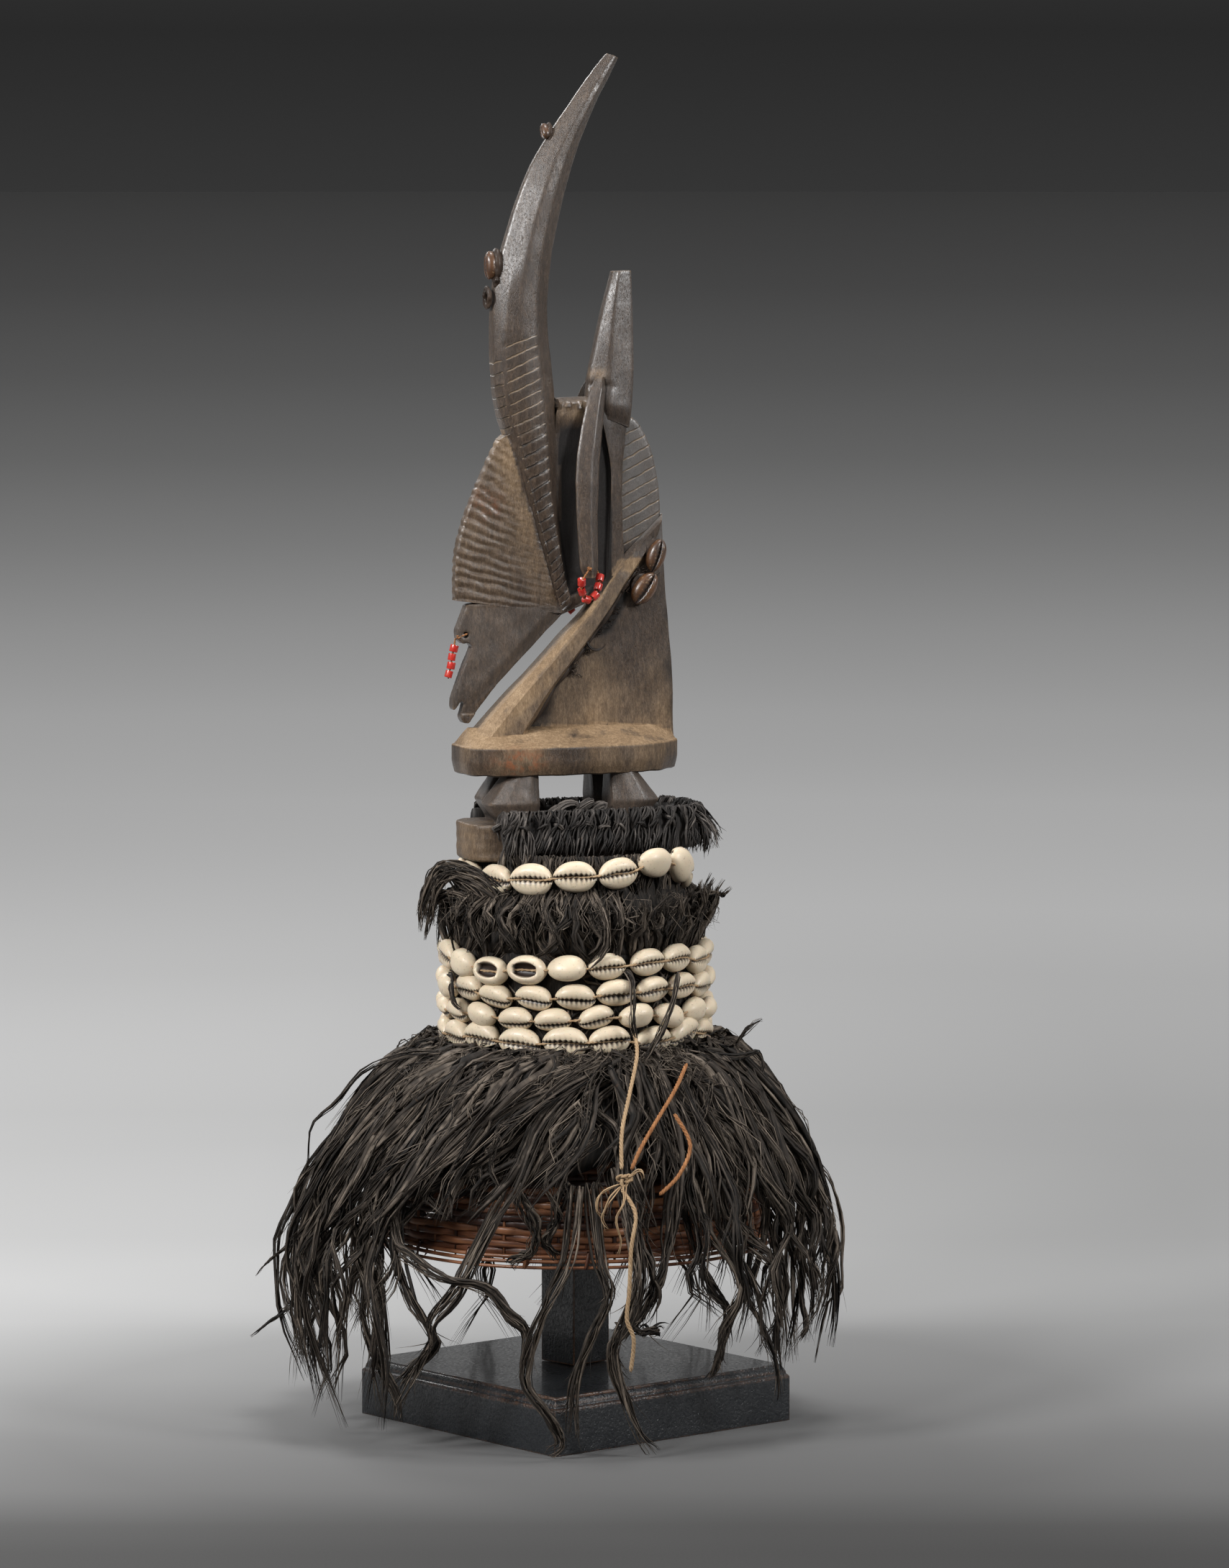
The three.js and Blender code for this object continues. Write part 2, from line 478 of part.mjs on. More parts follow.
// An ear's string: from the hole down outside the ear, round, and up inside it
function earString(name, side, beads) {
  const [x, y, z] = EAR_TIP;
  const spots = beads.map(([bx, by, bz]) => at(bx, side * by, bz));
  add(name, beadLoop([at(x, side * (y - 3.4), z), at(x, side * y, z), at(x, side * (y + 3.4), z),
    ...spots, at(x + 5.4, side * (y - 4.6), z - 1)], alongLine(spots)), BEAD, 0.25);
}
earString("near_ear_beads", -1, [[-3.6, 20, 414.2], [-2.9, 18.4, 409.6], [-0.1, 17.2, 405.5],
  [4.2, 17, 407.2], [6.2, 16.3, 411.4], [7.7, 14.6, 415.6]]);
earString("far_ear_beads", 1, [[-3.6, 20, 414.2], [-3.4, 18.6, 409.2], [-2.6, 18, 404.2],
  [-0.6, 17.4, 398.6], [3.9, 17, 398], [7, 16, 405.4]]);

// Twines that tie the strings of shells and hang over the skirt, with a knot. A route's points
// are [bearing in degrees, radius, z].
const hung = (name, route, steps) => add(name, cord(route.map(([turn, r, z]) =>
  bearing(turn, r, z)), TWINE_RADIUS, 8, steps), TWINE, 0.9);
hung("light_twine", [[-86, 71, 199], [-89, 84, 190.5], [-95, 101.5, 173.5], [-98.5, 114.5, 158],
  [-99.4, 123.6, 141.6]], 16);
hung("light_twine_end", [[-99.6, 125.6, 132.6], [-97.4, 134.2, 122], [-98.6, 138, 106], [-99, 138.4, 86],
  [-99.4, 137.4, 72], [-98, 137, 62], [-98.4, 134.4, 46]], 16);
hung("tan_twine", [[-70.7, 85.3, 184.6], [-80.6, 98, 174.4], [-89, 109.5, 162],
  [-94.5, 118.5, 150.5], [-97.2, 123.4, 141.4]], 14);
hung("tan_twine_loop", [[-84, 109.5, 165], [-82, 118, 151], [-86, 123.4, 138], [-91, 125, 129]], 8);
const knot = bearing(-98.8, 124.2, 136.8);
add("twine_knot", new THREE.SphereGeometry(1, 6, 4).scale(4.4, 3, 3.4)
  .rotateZ(rad(-10)).translate(knot.x, knot.y, knot.z), TWINE, 0.9);

export default group;
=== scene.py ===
from math import cos, pi, radians, sin, sqrt, tau

import bmesh
import bpy
import numpy as np
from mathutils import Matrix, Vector
from mathutils.bvhtree import BVHTree
from mathutils.kdtree import KDTree


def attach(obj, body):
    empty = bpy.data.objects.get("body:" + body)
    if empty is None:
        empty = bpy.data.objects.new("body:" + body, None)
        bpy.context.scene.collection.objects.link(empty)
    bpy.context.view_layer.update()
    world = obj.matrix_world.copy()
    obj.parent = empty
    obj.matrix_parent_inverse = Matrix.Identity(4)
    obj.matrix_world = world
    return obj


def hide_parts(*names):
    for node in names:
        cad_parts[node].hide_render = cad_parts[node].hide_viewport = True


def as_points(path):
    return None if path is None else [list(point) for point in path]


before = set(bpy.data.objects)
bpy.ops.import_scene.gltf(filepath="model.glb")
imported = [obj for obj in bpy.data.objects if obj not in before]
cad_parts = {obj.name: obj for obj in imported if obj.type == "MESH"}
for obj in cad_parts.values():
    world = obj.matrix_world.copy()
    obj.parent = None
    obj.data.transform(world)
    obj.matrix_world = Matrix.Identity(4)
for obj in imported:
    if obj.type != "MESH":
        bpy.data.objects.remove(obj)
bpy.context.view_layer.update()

# Lengths below are in millimetres, as in the part's source; meshes are written in metres.
MM = 0.001
STAND_TURN = 20             # degrees that the stand and its post are turned on their axis
POST_TURN = 23
NO_QUADS, NO_TRIS = np.zeros((0, 4), int), np.zeros((0, 3), int)


# Small tools

def vec(*numbers):
    return np.array(numbers, float)


def steps(count, low=0.0, high=1.0):
    return np.linspace(low, high, count)


def full_turn(count):
    return np.linspace(0, tau, count, endpoint=False)


def columns(*values):
    """Points from their x, y and z, each a number or an array."""
    return np.stack(np.broadcast_arrays(*values), -1)


def round_axis(turn, radius, z):
    return columns(radius * np.cos(turn), radius * np.sin(turn), z)


def on_bearing(degrees, radius, z):
    return round_axis(np.radians(degrees), radius, z)


def route_points(route):
    """Points of a route given as (bearing, radius, z)."""
    return on_bearing(*np.transpose(route))


def smooth_step(x, low, high):
    t = np.clip((x - low) / (high - low), 0, 1)
    return t * t * (3 - 2 * t)


def stretch(x, low, rise, fall, high):
    """Rises from low to rise, stays 1, and falls from fall to high."""
    return smooth_step(x, low, rise) * (1 - smooth_step(x, fall, high))


def hill(*axes):
    """A soft round peak: each axis is (values, middle, width)."""
    return np.exp(-sum(((x - middle) / width) ** 2 for x, middle, width in axes))


def spline(points, t):
    """Points of a Catmull-Rom line at the shares t of its length in knots."""
    points = np.asarray(points, float)
    last = len(points) - 1
    place = np.clip(np.asarray(t, float), 0, 1) * last
    k = np.minimum(place.astype(int), last - 1)
    w = (place - k)[..., None]
    p0, p1, p2, p3 = (points[np.clip(k + step, 0, last)] for step in (-1, 0, 1, 2))
    v0, v1 = (p2 - p0) / 2, (p3 - p1) / 2
    return ((2 * p1 - 2 * p2 + v0 + v1) * w ** 3 + (-3 * p1 + 3 * p2 - 2 * v0 - v1) * w ** 2
            + v0 * w + p1)


def waves(points, length, seed, parts=7):
    """A smooth, uneven field of about -1 to 1 over points, with bumps about length long."""
    rng = np.random.default_rng(seed)
    total = 0
    for _ in range(parts):
        way = rng.normal(size=3)
        way *= rng.uniform(0.7, 1.5) / np.linalg.norm(way) * tau / length
        total = total + np.sin(points @ way + rng.uniform(0, 6.28))
    return total / sqrt(parts)


def unit(v):
    return v / np.maximum(np.linalg.norm(v, axis=-1, keepdims=True), 1e-9)


def walked(line):
    """How far along a line each of its points lies."""
    return np.concatenate([[0], np.cumsum(np.linalg.norm(np.diff(line, axis=0), axis=1))])


def side_axes(lines, up=None):
    """Along a line, and the two directions across it: to the side, and out from the axis or up."""
    along = unit(np.gradient(lines, axis=1))
    out = lines * (1, 1, 0) if up is None else np.broadcast_to(up, lines.shape)
    side = unit(np.cross(along, out))
    return side, np.cross(side, along)


def grid_faces(rows, around, closed=False, start=0):
    """Quads between outlines of around points each, row by row; closed joins the last to the first."""
    k = np.arange(rows if closed else rows - 1)[:, None]
    j = np.arange(around)
    nxt, low = (j + 1) % around, (k + 1) % rows * around
    k = k * around
    return np.stack(np.broadcast_arrays(k + j, k + nxt, low + nxt, low + j), -1).reshape(-1, 4) + start


def skin(rows):
    """A closed shape over rows of closed outlines: (rows, around, 3)."""
    rows = np.asarray(rows, float)
    n, m = rows.shape[:2]
    points = np.concatenate([rows.reshape(-1, 3), rows[0].mean(0)[None], rows[-1].mean(0)[None]])
    j, nxt, base = np.arange(m), (np.arange(m) + 1) % m, (n - 1) * m
    tris = np.concatenate([np.stack([nxt, j, np.full(m, n * m)], -1),
                           np.stack([base + j, base + nxt, np.full(m, n * m + 1)], -1)])
    return points, grid_faces(n, m), tris


def volume(points, quads, tris):
    flat = np.concatenate([quads[:, [0, 1, 2]], quads[:, [0, 2, 3]], tris]) if len(quads) else tris
    a, b, c = (points[flat[:, k]] for k in range(3))
    return np.einsum("ij,ij->i", a, np.cross(b, c)).sum() / 6


def outward_faces(points, quads, tris):
    """The same shape, turned to face outward."""
    if volume(points, quads, tris) < 0:
        return points, quads[:, ::-1], tris[:, ::-1]
    return points, quads, tris


def gather(parts):
    """Several (points, quads, tris) as one."""
    points, quads, tris = zip(*parts)
    starts = np.cumsum([0] + [len(p) for p in points])
    return (np.concatenate(points), np.concatenate([q + k for q, k in zip(quads, starts)]),
            np.concatenate([t + k for t, k in zip(tris, starts)]))


def put_values(mesh, **values):
    for label, value in values.items():
        mesh.attributes.new(label, "FLOAT", "POINT").data.foreach_set("value", np.asarray(value, np.float32))


def link_mesh(name, mesh):
    thing = bpy.data.objects.new(name, mesh)
    bpy.context.collection.objects.link(thing)
    return thing


def piece(name, shape, material, replaces=(), angle=None, values=None, uv=None):
    """A mesh object on the root body from (points, quads, tris), in millimetres."""
    points, quads, tris = shape
    mesh = bpy.data.meshes.new(name)
    mesh.vertices.add(len(points))
    mesh.vertices.foreach_set("co", (points * MM).astype(np.float32).ravel())
    corners = np.concatenate([quads.ravel(), tris.ravel()]).astype(np.int32)
    mesh.loops.add(len(corners))
    mesh.loops.foreach_set("vertex_index", corners)
    mesh.polygons.add(len(quads) + len(tris))
    mesh.polygons.foreach_set("loop_start", np.concatenate(
        [np.arange(len(quads)) * 4, len(quads) * 4 + np.arange(len(tris)) * 3]).astype(np.int32))
    mesh.update(calc_edges=True)
    mesh.validate()
    put_values(mesh, **(values or {}))
    if uv is not None:
        layer = mesh.uv_layers.new(name="along")
        layer.data.foreach_set("uv", uv[corners].astype(np.float32).ravel())
    finish_piece(link_mesh(name, mesh), material, replaces, angle)


def finish_piece(thing, material, replaces=(), angle=None):
    thing.data.materials.clear()
    thing.data.materials.append(material)
    if angle is None:
        thing.data.polygons.foreach_set("use_smooth", [True] * len(thing.data.polygons))
    else:
        alone(thing)
        bpy.ops.object.shade_smooth_by_angle(angle=radians(angle))
    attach(thing, "root")
    if replaces:
        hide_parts(*replaces)


def alone(thing):
    bpy.ops.object.select_all(action="DESELECT")
    thing.select_set(True)
    bpy.context.view_layer.objects.active = thing


def in_edit_mode(*actions):
    bpy.ops.object.mode_set(mode="EDIT")
    for action in actions:
        action()
    bpy.ops.object.mode_set(mode="OBJECT")


def apply(thing, kind, **settings):
    """Adds a modifier to a piece and applies it."""
    alone(thing)
    modifier = thing.modifiers.new("shaping", kind)
    for name, value in settings.items():
        setattr(modifier, name, value)
    bpy.ops.object.modifier_apply(modifier=modifier.name)


# Camera

LENS = 164.2
SENSOR = 36
CAMERA_PLACE = Vector((-1173.16, -3279.85, 655.33)) * MM
CAMERA_AIM = Vector((18.19, -6.62, 313.79)) * MM


def place_camera():
    lens = bpy.data.cameras.new("view")
    lens.lens = LENS
    lens.sensor_width = SENSOR
    lens.clip_start, lens.clip_end = 0.05, 200
    camera = link_mesh("view", lens)
    camera.location = CAMERA_PLACE
    camera.rotation_mode = "QUATERNION"
    camera.rotation_quaternion = (CAMERA_AIM - CAMERA_PLACE).to_track_quat("-Z", "Y")
    bpy.context.scene.camera = camera


place_camera()


# Finishes. A group's effect varies over the surface; constants sit on each shader's sockets.

class Value:
    """What a node puts out. Sums, differences and products of values make Math nodes."""

    def __init__(self, graph, socket):
        self.graph, self.socket = graph, socket

    def __add__(self, other):
        return self.graph.maths("ADD", self, other)

    def __sub__(self, other):
        return self.graph.maths("SUBTRACT", self, other)

    def __mul__(self, other):
        return self.graph.maths("MULTIPLY", self, other)

    def scaled(self, by, plus=0.0, clamp=False):
        return self.graph.maths("MULTIPLY_ADD", self, by, plus, clamp)

    def held(self, by):
        """The product, kept between 0 and 1."""
        return self.graph.maths("MULTIPLY", self, by, clamp=True)


class Graph:
    """A node tree, with a short call for each kind of node that the finishes use."""

    def __init__(self, tree):
        self.tree = tree

    def node(self, kind, inputs, output=0, **settings):
        made = self.tree.nodes.new("ShaderNode" + kind)
        for key, value in settings.items():
            setattr(made, key, value)
        for key, value in inputs.items():
            self.feed(made.inputs[key], value)
        return Value(self, made.outputs[output])

    def feed(self, socket, value):
        if isinstance(value, Value):
            self.tree.links.new(value.socket, socket)
        else:
            socket.default_value = value

    def maths(self, operation, a, b=0.0, c=0.0, clamp=False):
        return self.node("Math", {0: a, 1: b, 2: c}, operation=operation, use_clamp=clamp)

    def noise(self, vector, scale, detail=4.0, rough=0.55, distortion=0.0):
        return self.node("TexNoise", {"Vector": vector, "Scale": scale, "Detail": detail,
                                      "Roughness": rough, "Distortion": distortion})

    def attribute(self, label):
        return self.node("Attribute", {}, "Fac", attribute_name=label)

    def stretched(self, vector, *scale):
        return self.node("Mapping", {"Vector": vector, "Scale": scale, "Rotation": (0, 0, 0)})

    def between(self, value, low, high, to_low=0.0, to_high=1.0, **settings):
        return self.node("MapRange", {"Value": value, "From Min": low, "From Max": high,
                                      "To Min": to_low, "To Max": to_high}, **settings)

    def along(self, place, way):
        return self.node("VectorMath", {0: place, 1: way}, "Value", operation="DOT_PRODUCT")

    def ramp(self, value, *stops):
        made = self.node("ValToRGB", {0: value})
        band = made.socket.node.color_ramp.elements
        while len(band) < len(stops):
            band.new(0.5)
        for spot, (place, colour) in zip(band, stops):
            spot.position = place
            spot.color = (*colour, 1) if hasattr(colour, "__len__") else (colour,) * 3 + (1,)
        return made

    def mix(self, share, a, b, kind="MIX"):
        a, b = (colour if isinstance(colour, Value) else (*colour, 1) for colour in (a, b))
        return self.node("Mix", {0: share, 6: a, 7: b}, 2, data_type="RGBA", blend_type=kind)

    def use(self, shared, **inputs):
        made = self.node("Group", {}, node_tree=shared).socket.node
        for key, value in inputs.items():
            self.feed(made.inputs[key], value)
        return [Value(self, socket) for socket in made.outputs]


class Finish(Graph):
    """A material: constants on its shader, and values that vary over the surface from nodes."""

    def __init__(self, label, **constants):
        self.material = bpy.data.materials.new(label)
        self.material.use_nodes = True
        super().__init__(self.material.node_tree)
        self.place = self.node("TexCoord", {}, "Object")
        self.set(**constants)

    def set(self, **values):
        shader = self.tree.nodes["Principled BSDF"]
        for name, value in values.items():
            self.feed(shader.inputs[name.replace("_", " ")], value)

    def bump(self, height, distance, strength=1.0):
        self.set(Normal=self.node("Bump", {"Height": height, "Distance": distance * MM,
                                           "Strength": strength}))
        return self.material


def group(label, inputs, outputs, build):
    """A shared node group of numbers: build(graph, *inputs) returns its outputs in order."""
    tree = bpy.data.node_groups.new(label, "ShaderNodeTree")
    for name, value in inputs.items():
        kind = "NodeSocketVector" if value is None else "NodeSocketFloat"
        socket = tree.interface.new_socket(name, in_out="INPUT", socket_type=kind)
        if value is not None:
            socket.default_value = value
    for name in outputs:
        tree.interface.new_socket(name, in_out="OUTPUT", socket_type="NodeSocketFloat")
    graph = Graph(tree)
    given = tree.nodes.new("NodeGroupInput").outputs[:len(inputs)]
    end = tree.nodes.new("NodeGroupOutput")
    for socket, value in zip(end.inputs, build(graph, *(Value(graph, socket) for socket in given))):
        graph.feed(socket, value)
    return tree


def grain_build(g, place, fineness):
    fine = g.noise(g.stretched(place, 1, 1, 0.28), fineness, 5, 0.75)
    broad = g.noise(g.stretched(place, 1, 1, 0.3), 30, 4, 0.6, 0.6)
    pores = g.noise(g.stretched(place, 1, 1, 0.3), 2300, 3, 0.7)
    return pores.scaled(0.3, fine * 0.4 + broad * 0.3), fine * 0.6 + pores * 0.4


def wear_build(g, place, rub_and_highlight, grime_and_shade):
    """Masks of proud edges, lighter from wear and a painted highlight, and of hollows, darker from soiling and
    painted shade, from the mesh's own edge and hollow values, broken up by noise.
    """
    speck = g.noise(place, 420, 5, 0.7)
    patch = g.noise(place, 60, 3, 0.6)
    worn_and_highlit = g.attribute("edge") * rub_and_highlight + (speck - 0.55) * 0.9
    dim = g.attribute("hollow") * grime_and_shade + (patch - 0.5) * 0.35
    return (g.between(worn_and_highlit, 0.25, 0.75, interpolation_type="SMOOTHSTEP"),
            g.between(dim, 0.2, 0.9, interpolation_type="SMOOTHSTEP"))


def fibre_build(g, fineness):
    """Fine strands along a ribbon: u runs across it, v along it, in millimetres."""
    at = g.node("UVMap", {}, uv_map="along")
    fine = g.noise(g.stretched(at, 1.0, 0.045, 1), fineness, 3, 0.6)
    broad = g.noise(g.stretched(at, 0.35, 0.03, 1), fineness, 2, 0.5)
    return fine * 0.6 + broad * 0.4, fine, g.noise(g.stretched(at, 0.3, 0.2, 1), fineness, 2, 0.5)


def speckle_build(g, place, scale):
    dots = g.noise(place, scale, 2, 0.5)
    return g.between(dots, 0.62, 0.72), g.noise(place, scale * 0.16, 4, 0.6)


def knife_build(g, place):
    """Thin cuts where the mesh's own mark value is a whole number, as deep as its marked value."""
    sway = g.noise(place, 160, 3, 0.6).scaled(0.34, -0.17)
    off = g.maths("PINGPONG", g.attribute("mark") + sway, 0.5)
    marked = g.attribute("marked")
    cut = g.between(off, 0.035, 0.105, 1.0, 0.0) * marked.scaled(4.0, -1.2, True)
    return cut, marked.scaled(3.0, -2.0, True)


GRAIN = group("wood grain", {"Vector": None, "Fineness": 620.0}, ("Tone", "Height"), grain_build)
WEAR = group("rubbed and grimy", {"Vector": None, "Rub": 1.0, "Grime": 1.0}, ("Rubbed", "Grimy_and_shaded"),
             wear_build)
KNIFE = group("knife lines", {"Vector": None}, ("Cut", "Deep"), knife_build)
STRANDS = group("fine strands", {"Fineness": 1.6}, ("Streak", "Height", "Patch"), fibre_build)
SPECKLE = group("specks and clouds", {"Vector": None, "Scale": 900.0}, ("Specks", "Clouds"),
                speckle_build)


def wood_finish():
    f = Finish("carved_wood", IOR=1.5, Specular_IOR_Level=0.4, Coat_Roughness=0.26)
    tone, height = f.use(GRAIN, Vector=f.place)
    rubbed_and_highlit, grimy_and_shaded = f.use(WEAR, Vector=f.place)
    cut, deep = f.use(KNIFE, Vector=f.place)
    mottle = f.noise(f.stretched(f.place, 1, 1, 0.7), 1150, 5, 0.78)
    patina = f.ramp(tone, (0.36, (0.014, 0.0095, 0.007)), (0.5, (0.05, 0.034, 0.024)),
                    (0.64, (0.125, 0.085, 0.057)))
    ochre = f.ramp(tone, (0.36, (0.07, 0.043, 0.023)), (0.5, (0.21, 0.135, 0.072)),
                   (0.64, (0.37, 0.26, 0.155)))
    cloud = f.noise(f.stretched(f.place, 1, 1, 0.45), 55, 5, 0.65)
    share = f.attribute("bare").held(cloud.scaled(4.4, -1.3))
    colour = f.mix(share, patina, ochre)
    # Proud edges are painted lighter tan: wear along the arrises, with a painted highlight there.
    colour = f.mix(rubbed_and_highlit * 0.6, colour, (0.19, 0.125, 0.075))
    colour = f.mix(f.attribute("cool") * cloud, colour, (0.15, 0.142, 0.135))
    flecks = f.noise(f.place, 190, 5, 0.75).scaled(6.0, -2.7, True)
    colour = f.mix(f.attribute("red").held(flecks), colour, (0.24, 0.085, 0.035))
    # Near-black where the hollow value is high: painted shade in recesses and behind parts, with some soiling.
    colour = f.mix(grimy_and_shaded * 0.94, colour, (0.006, 0.0045, 0.004))
    # Deep cuts are painted near-black as painted shade in the cut; shallow scratches show tan wood.
    cut_colour = f.mix(deep, (0.21, 0.15, 0.095), (0.012, 0.009, 0.007))
    coat = f.maths("SUBTRACT", f.attribute("gloss"), grimy_and_shaded, clamp=True) * 0.85
    f.set(Base_Color=f.mix(cut * 0.85, colour, cut_colour),
          Roughness=mottle.scaled(0.7, share * 0.3 + grimy_and_shaded * 0.4),
          Coat_Weight=mottle.scaled(6.0, -2.5, True) * coat)
    return f.bump(cut.scaled(-0.75, mottle.scaled(0.24, height * 0.5)), 0.6)


def fibre_finish(label, dark, mid, light):
    f = Finish(label, IOR=1.45, Specular_IOR_Level=0.35)
    streak, height, patch = f.use(STRANDS, Fineness=2.3)
    colour = f.ramp(streak * 0.85 + f.attribute("tone") * 0.3, (0.42, dark), (0.58, mid), (0.76, light))
    rust = f.between(patch, 0.66, 0.8)
    f.set(Base_Color=f.mix(rust * 0.5, colour, (0.09, 0.045, 0.022)),
          Roughness=f.ramp(streak, (0.3, 0.85), (0.7, 0.58)))
    return f.bump(height, 0.3)


def shell_finish(label, body, stain, dirty, gloss=0.12):
    f = Finish(label, IOR=1.5, Coat_Weight=gloss, Coat_Roughness=0.2, Subsurface_Weight=0.08,
               Subsurface_Scale=0.004)
    specks, clouds = f.use(SPECKLE, Vector=f.place)
    colour = f.mix(clouds * dirty, body, stain)
    colour = f.mix(specks * (dirty * 0.8), colour, (0.2, 0.13, 0.07))
    # The slit and the hole of each shell are painted near-black inside as painted shade.
    inside = f.ramp(f.attribute("deep"), (0.05, 0.0), (0.45, 0.65), (0.8, 1.0))
    f.set(Base_Color=f.mix(inside, colour, (0.022, 0.012, 0.008)),
          Roughness=f.ramp(clouds, (0.3, 0.36), (0.7, 0.56)))
    return f.bump(clouds, 0.05)


def wicker_finish():
    f = Finish("red_cane", IOR=1.5, Coat_Roughness=0.25)
    streak, height, patch = f.use(STRANDS, Fineness=1.1)
    toned = streak * 0.75 + f.attribute("tone") * 0.4
    f.set(Base_Color=f.ramp(toned, (0.42, (0.03, 0.011, 0.007)), (0.6, (0.14, 0.048, 0.021)),
                            (0.8, (0.4, 0.17, 0.075))),
          Roughness=f.ramp(streak, (0.3, 0.55), (0.7, 0.34)), Coat_Weight=patch * 0.4)
    return f.bump(height, 0.2)


def twine_finish(label, dark, light):
    f = Finish(label, IOR=1.45, Specular_IOR_Level=0.25)
    streak, height, _ = f.use(STRANDS, Fineness=2.6)
    f.set(Base_Color=f.ramp(streak, (0.3, dark), (0.7, light)),
          Roughness=f.ramp(streak, (0.3, 0.9), (0.7, 0.75)))
    return f.bump(height, 0.25)


def glass_finish():
    f = Finish("red_glass", IOR=1.52, Coat_Weight=0.25, Coat_Roughness=0.1, Subsurface_Weight=0.25,
               Subsurface_Scale=0.002)
    _, clouds = f.use(SPECKLE, Vector=f.place, Scale=1300.0)
    rubbed_and_highlit, grimy_and_shaded = f.use(WEAR, Vector=f.place, Rub=0.9, Grime=0.8)
    colour = f.ramp(clouds, (0.3, (0.36, 0.012, 0.009)), (0.7, (0.58, 0.035, 0.022)))
    colour = f.mix(rubbed_and_highlit * 0.45, colour, (0.7, 0.3, 0.22))
    # Darker in the holes and creases of the beads as painted shade there, and a little darker over the ear beads
    # as soiling.
    f.set(Base_Color=f.mix(grimy_and_shaded * 0.6, colour, (0.05, 0.012, 0.01)),
          Roughness=f.ramp(clouds, (0.3, 0.16), (0.7, 0.34)))
    return f.bump(clouds, 0.05)


def lacquer_finish():
    f = Finish("black_lacquer", IOR=1.5, Coat_Roughness=0.12)
    pits = f.noise(f.place, 640, 3, 0.6)
    swirl = f.noise(f.place, 90, 3, 0.5)
    rubbed_and_highlit, _ = f.use(WEAR, Vector=f.place, Rub=1.05, Grime=0.4)
    dust = f.noise(f.place, 2400, 2, 0.6)
    colour = f.ramp(dust, (0.35, (0.007, 0.008, 0.0095)), (0.75, (0.026, 0.029, 0.033)))
    f.set(Base_Color=f.mix(rubbed_and_highlit, colour, (0.11, 0.055, 0.03)),
          Roughness=f.ramp(swirl, (0.3, 0.22), (0.7, 0.42)),
          Coat_Weight=f.ramp(pits, (0.4, 0.25), (0.62, 0.9)))
    return f.bump(pits, 1.1, 0.6)


def resin_finish():
    f = Finish("dark_resin", IOR=1.5, Specular_IOR_Level=0.3, Coat_Weight=0.08, Coat_Roughness=0.2)
    _, clouds = f.use(SPECKLE, Vector=f.place, Scale=700.0)
    f.set(Base_Color=f.ramp(clouds, (0.3, (0.012, 0.008, 0.006)), (0.7, (0.05, 0.03, 0.019))),
          Roughness=f.ramp(clouds, (0.3, 0.35), (0.7, 0.75)))
    return f.bump(clouds, 0.25)


WOOD = wood_finish()
FIBRE = fibre_finish("black_fibre", (0.005, 0.0038, 0.003), (0.037, 0.028, 0.021), (0.19, 0.152, 0.118))
KNOTTED = fibre_finish("knotted_fibre", (0.008, 0.007, 0.0065), (0.036, 0.031, 0.028), (0.15, 0.13, 0.115))
SHELL = shell_finish("ivory_shell", (0.72, 0.62, 0.47), (0.5, 0.37, 0.22), 0.5)
OLD_SHELL = shell_finish("brown_shell", (0.19, 0.082, 0.03), (0.025, 0.01, 0.004), 1.5, 0.45)
CANE = wicker_finish()
LIGHT_TWINE = twine_finish("light_twine", (0.22, 0.13, 0.065), (0.5, 0.36, 0.22))
TAN_TWINE = twine_finish("tan_twine", (0.14, 0.05, 0.018), (0.42, 0.2, 0.085))
GLASS = glass_finish()
LACQUER = lacquer_finish()
RESIN = resin_finish()


# Strands: ribbons or cords of fibre along given lines

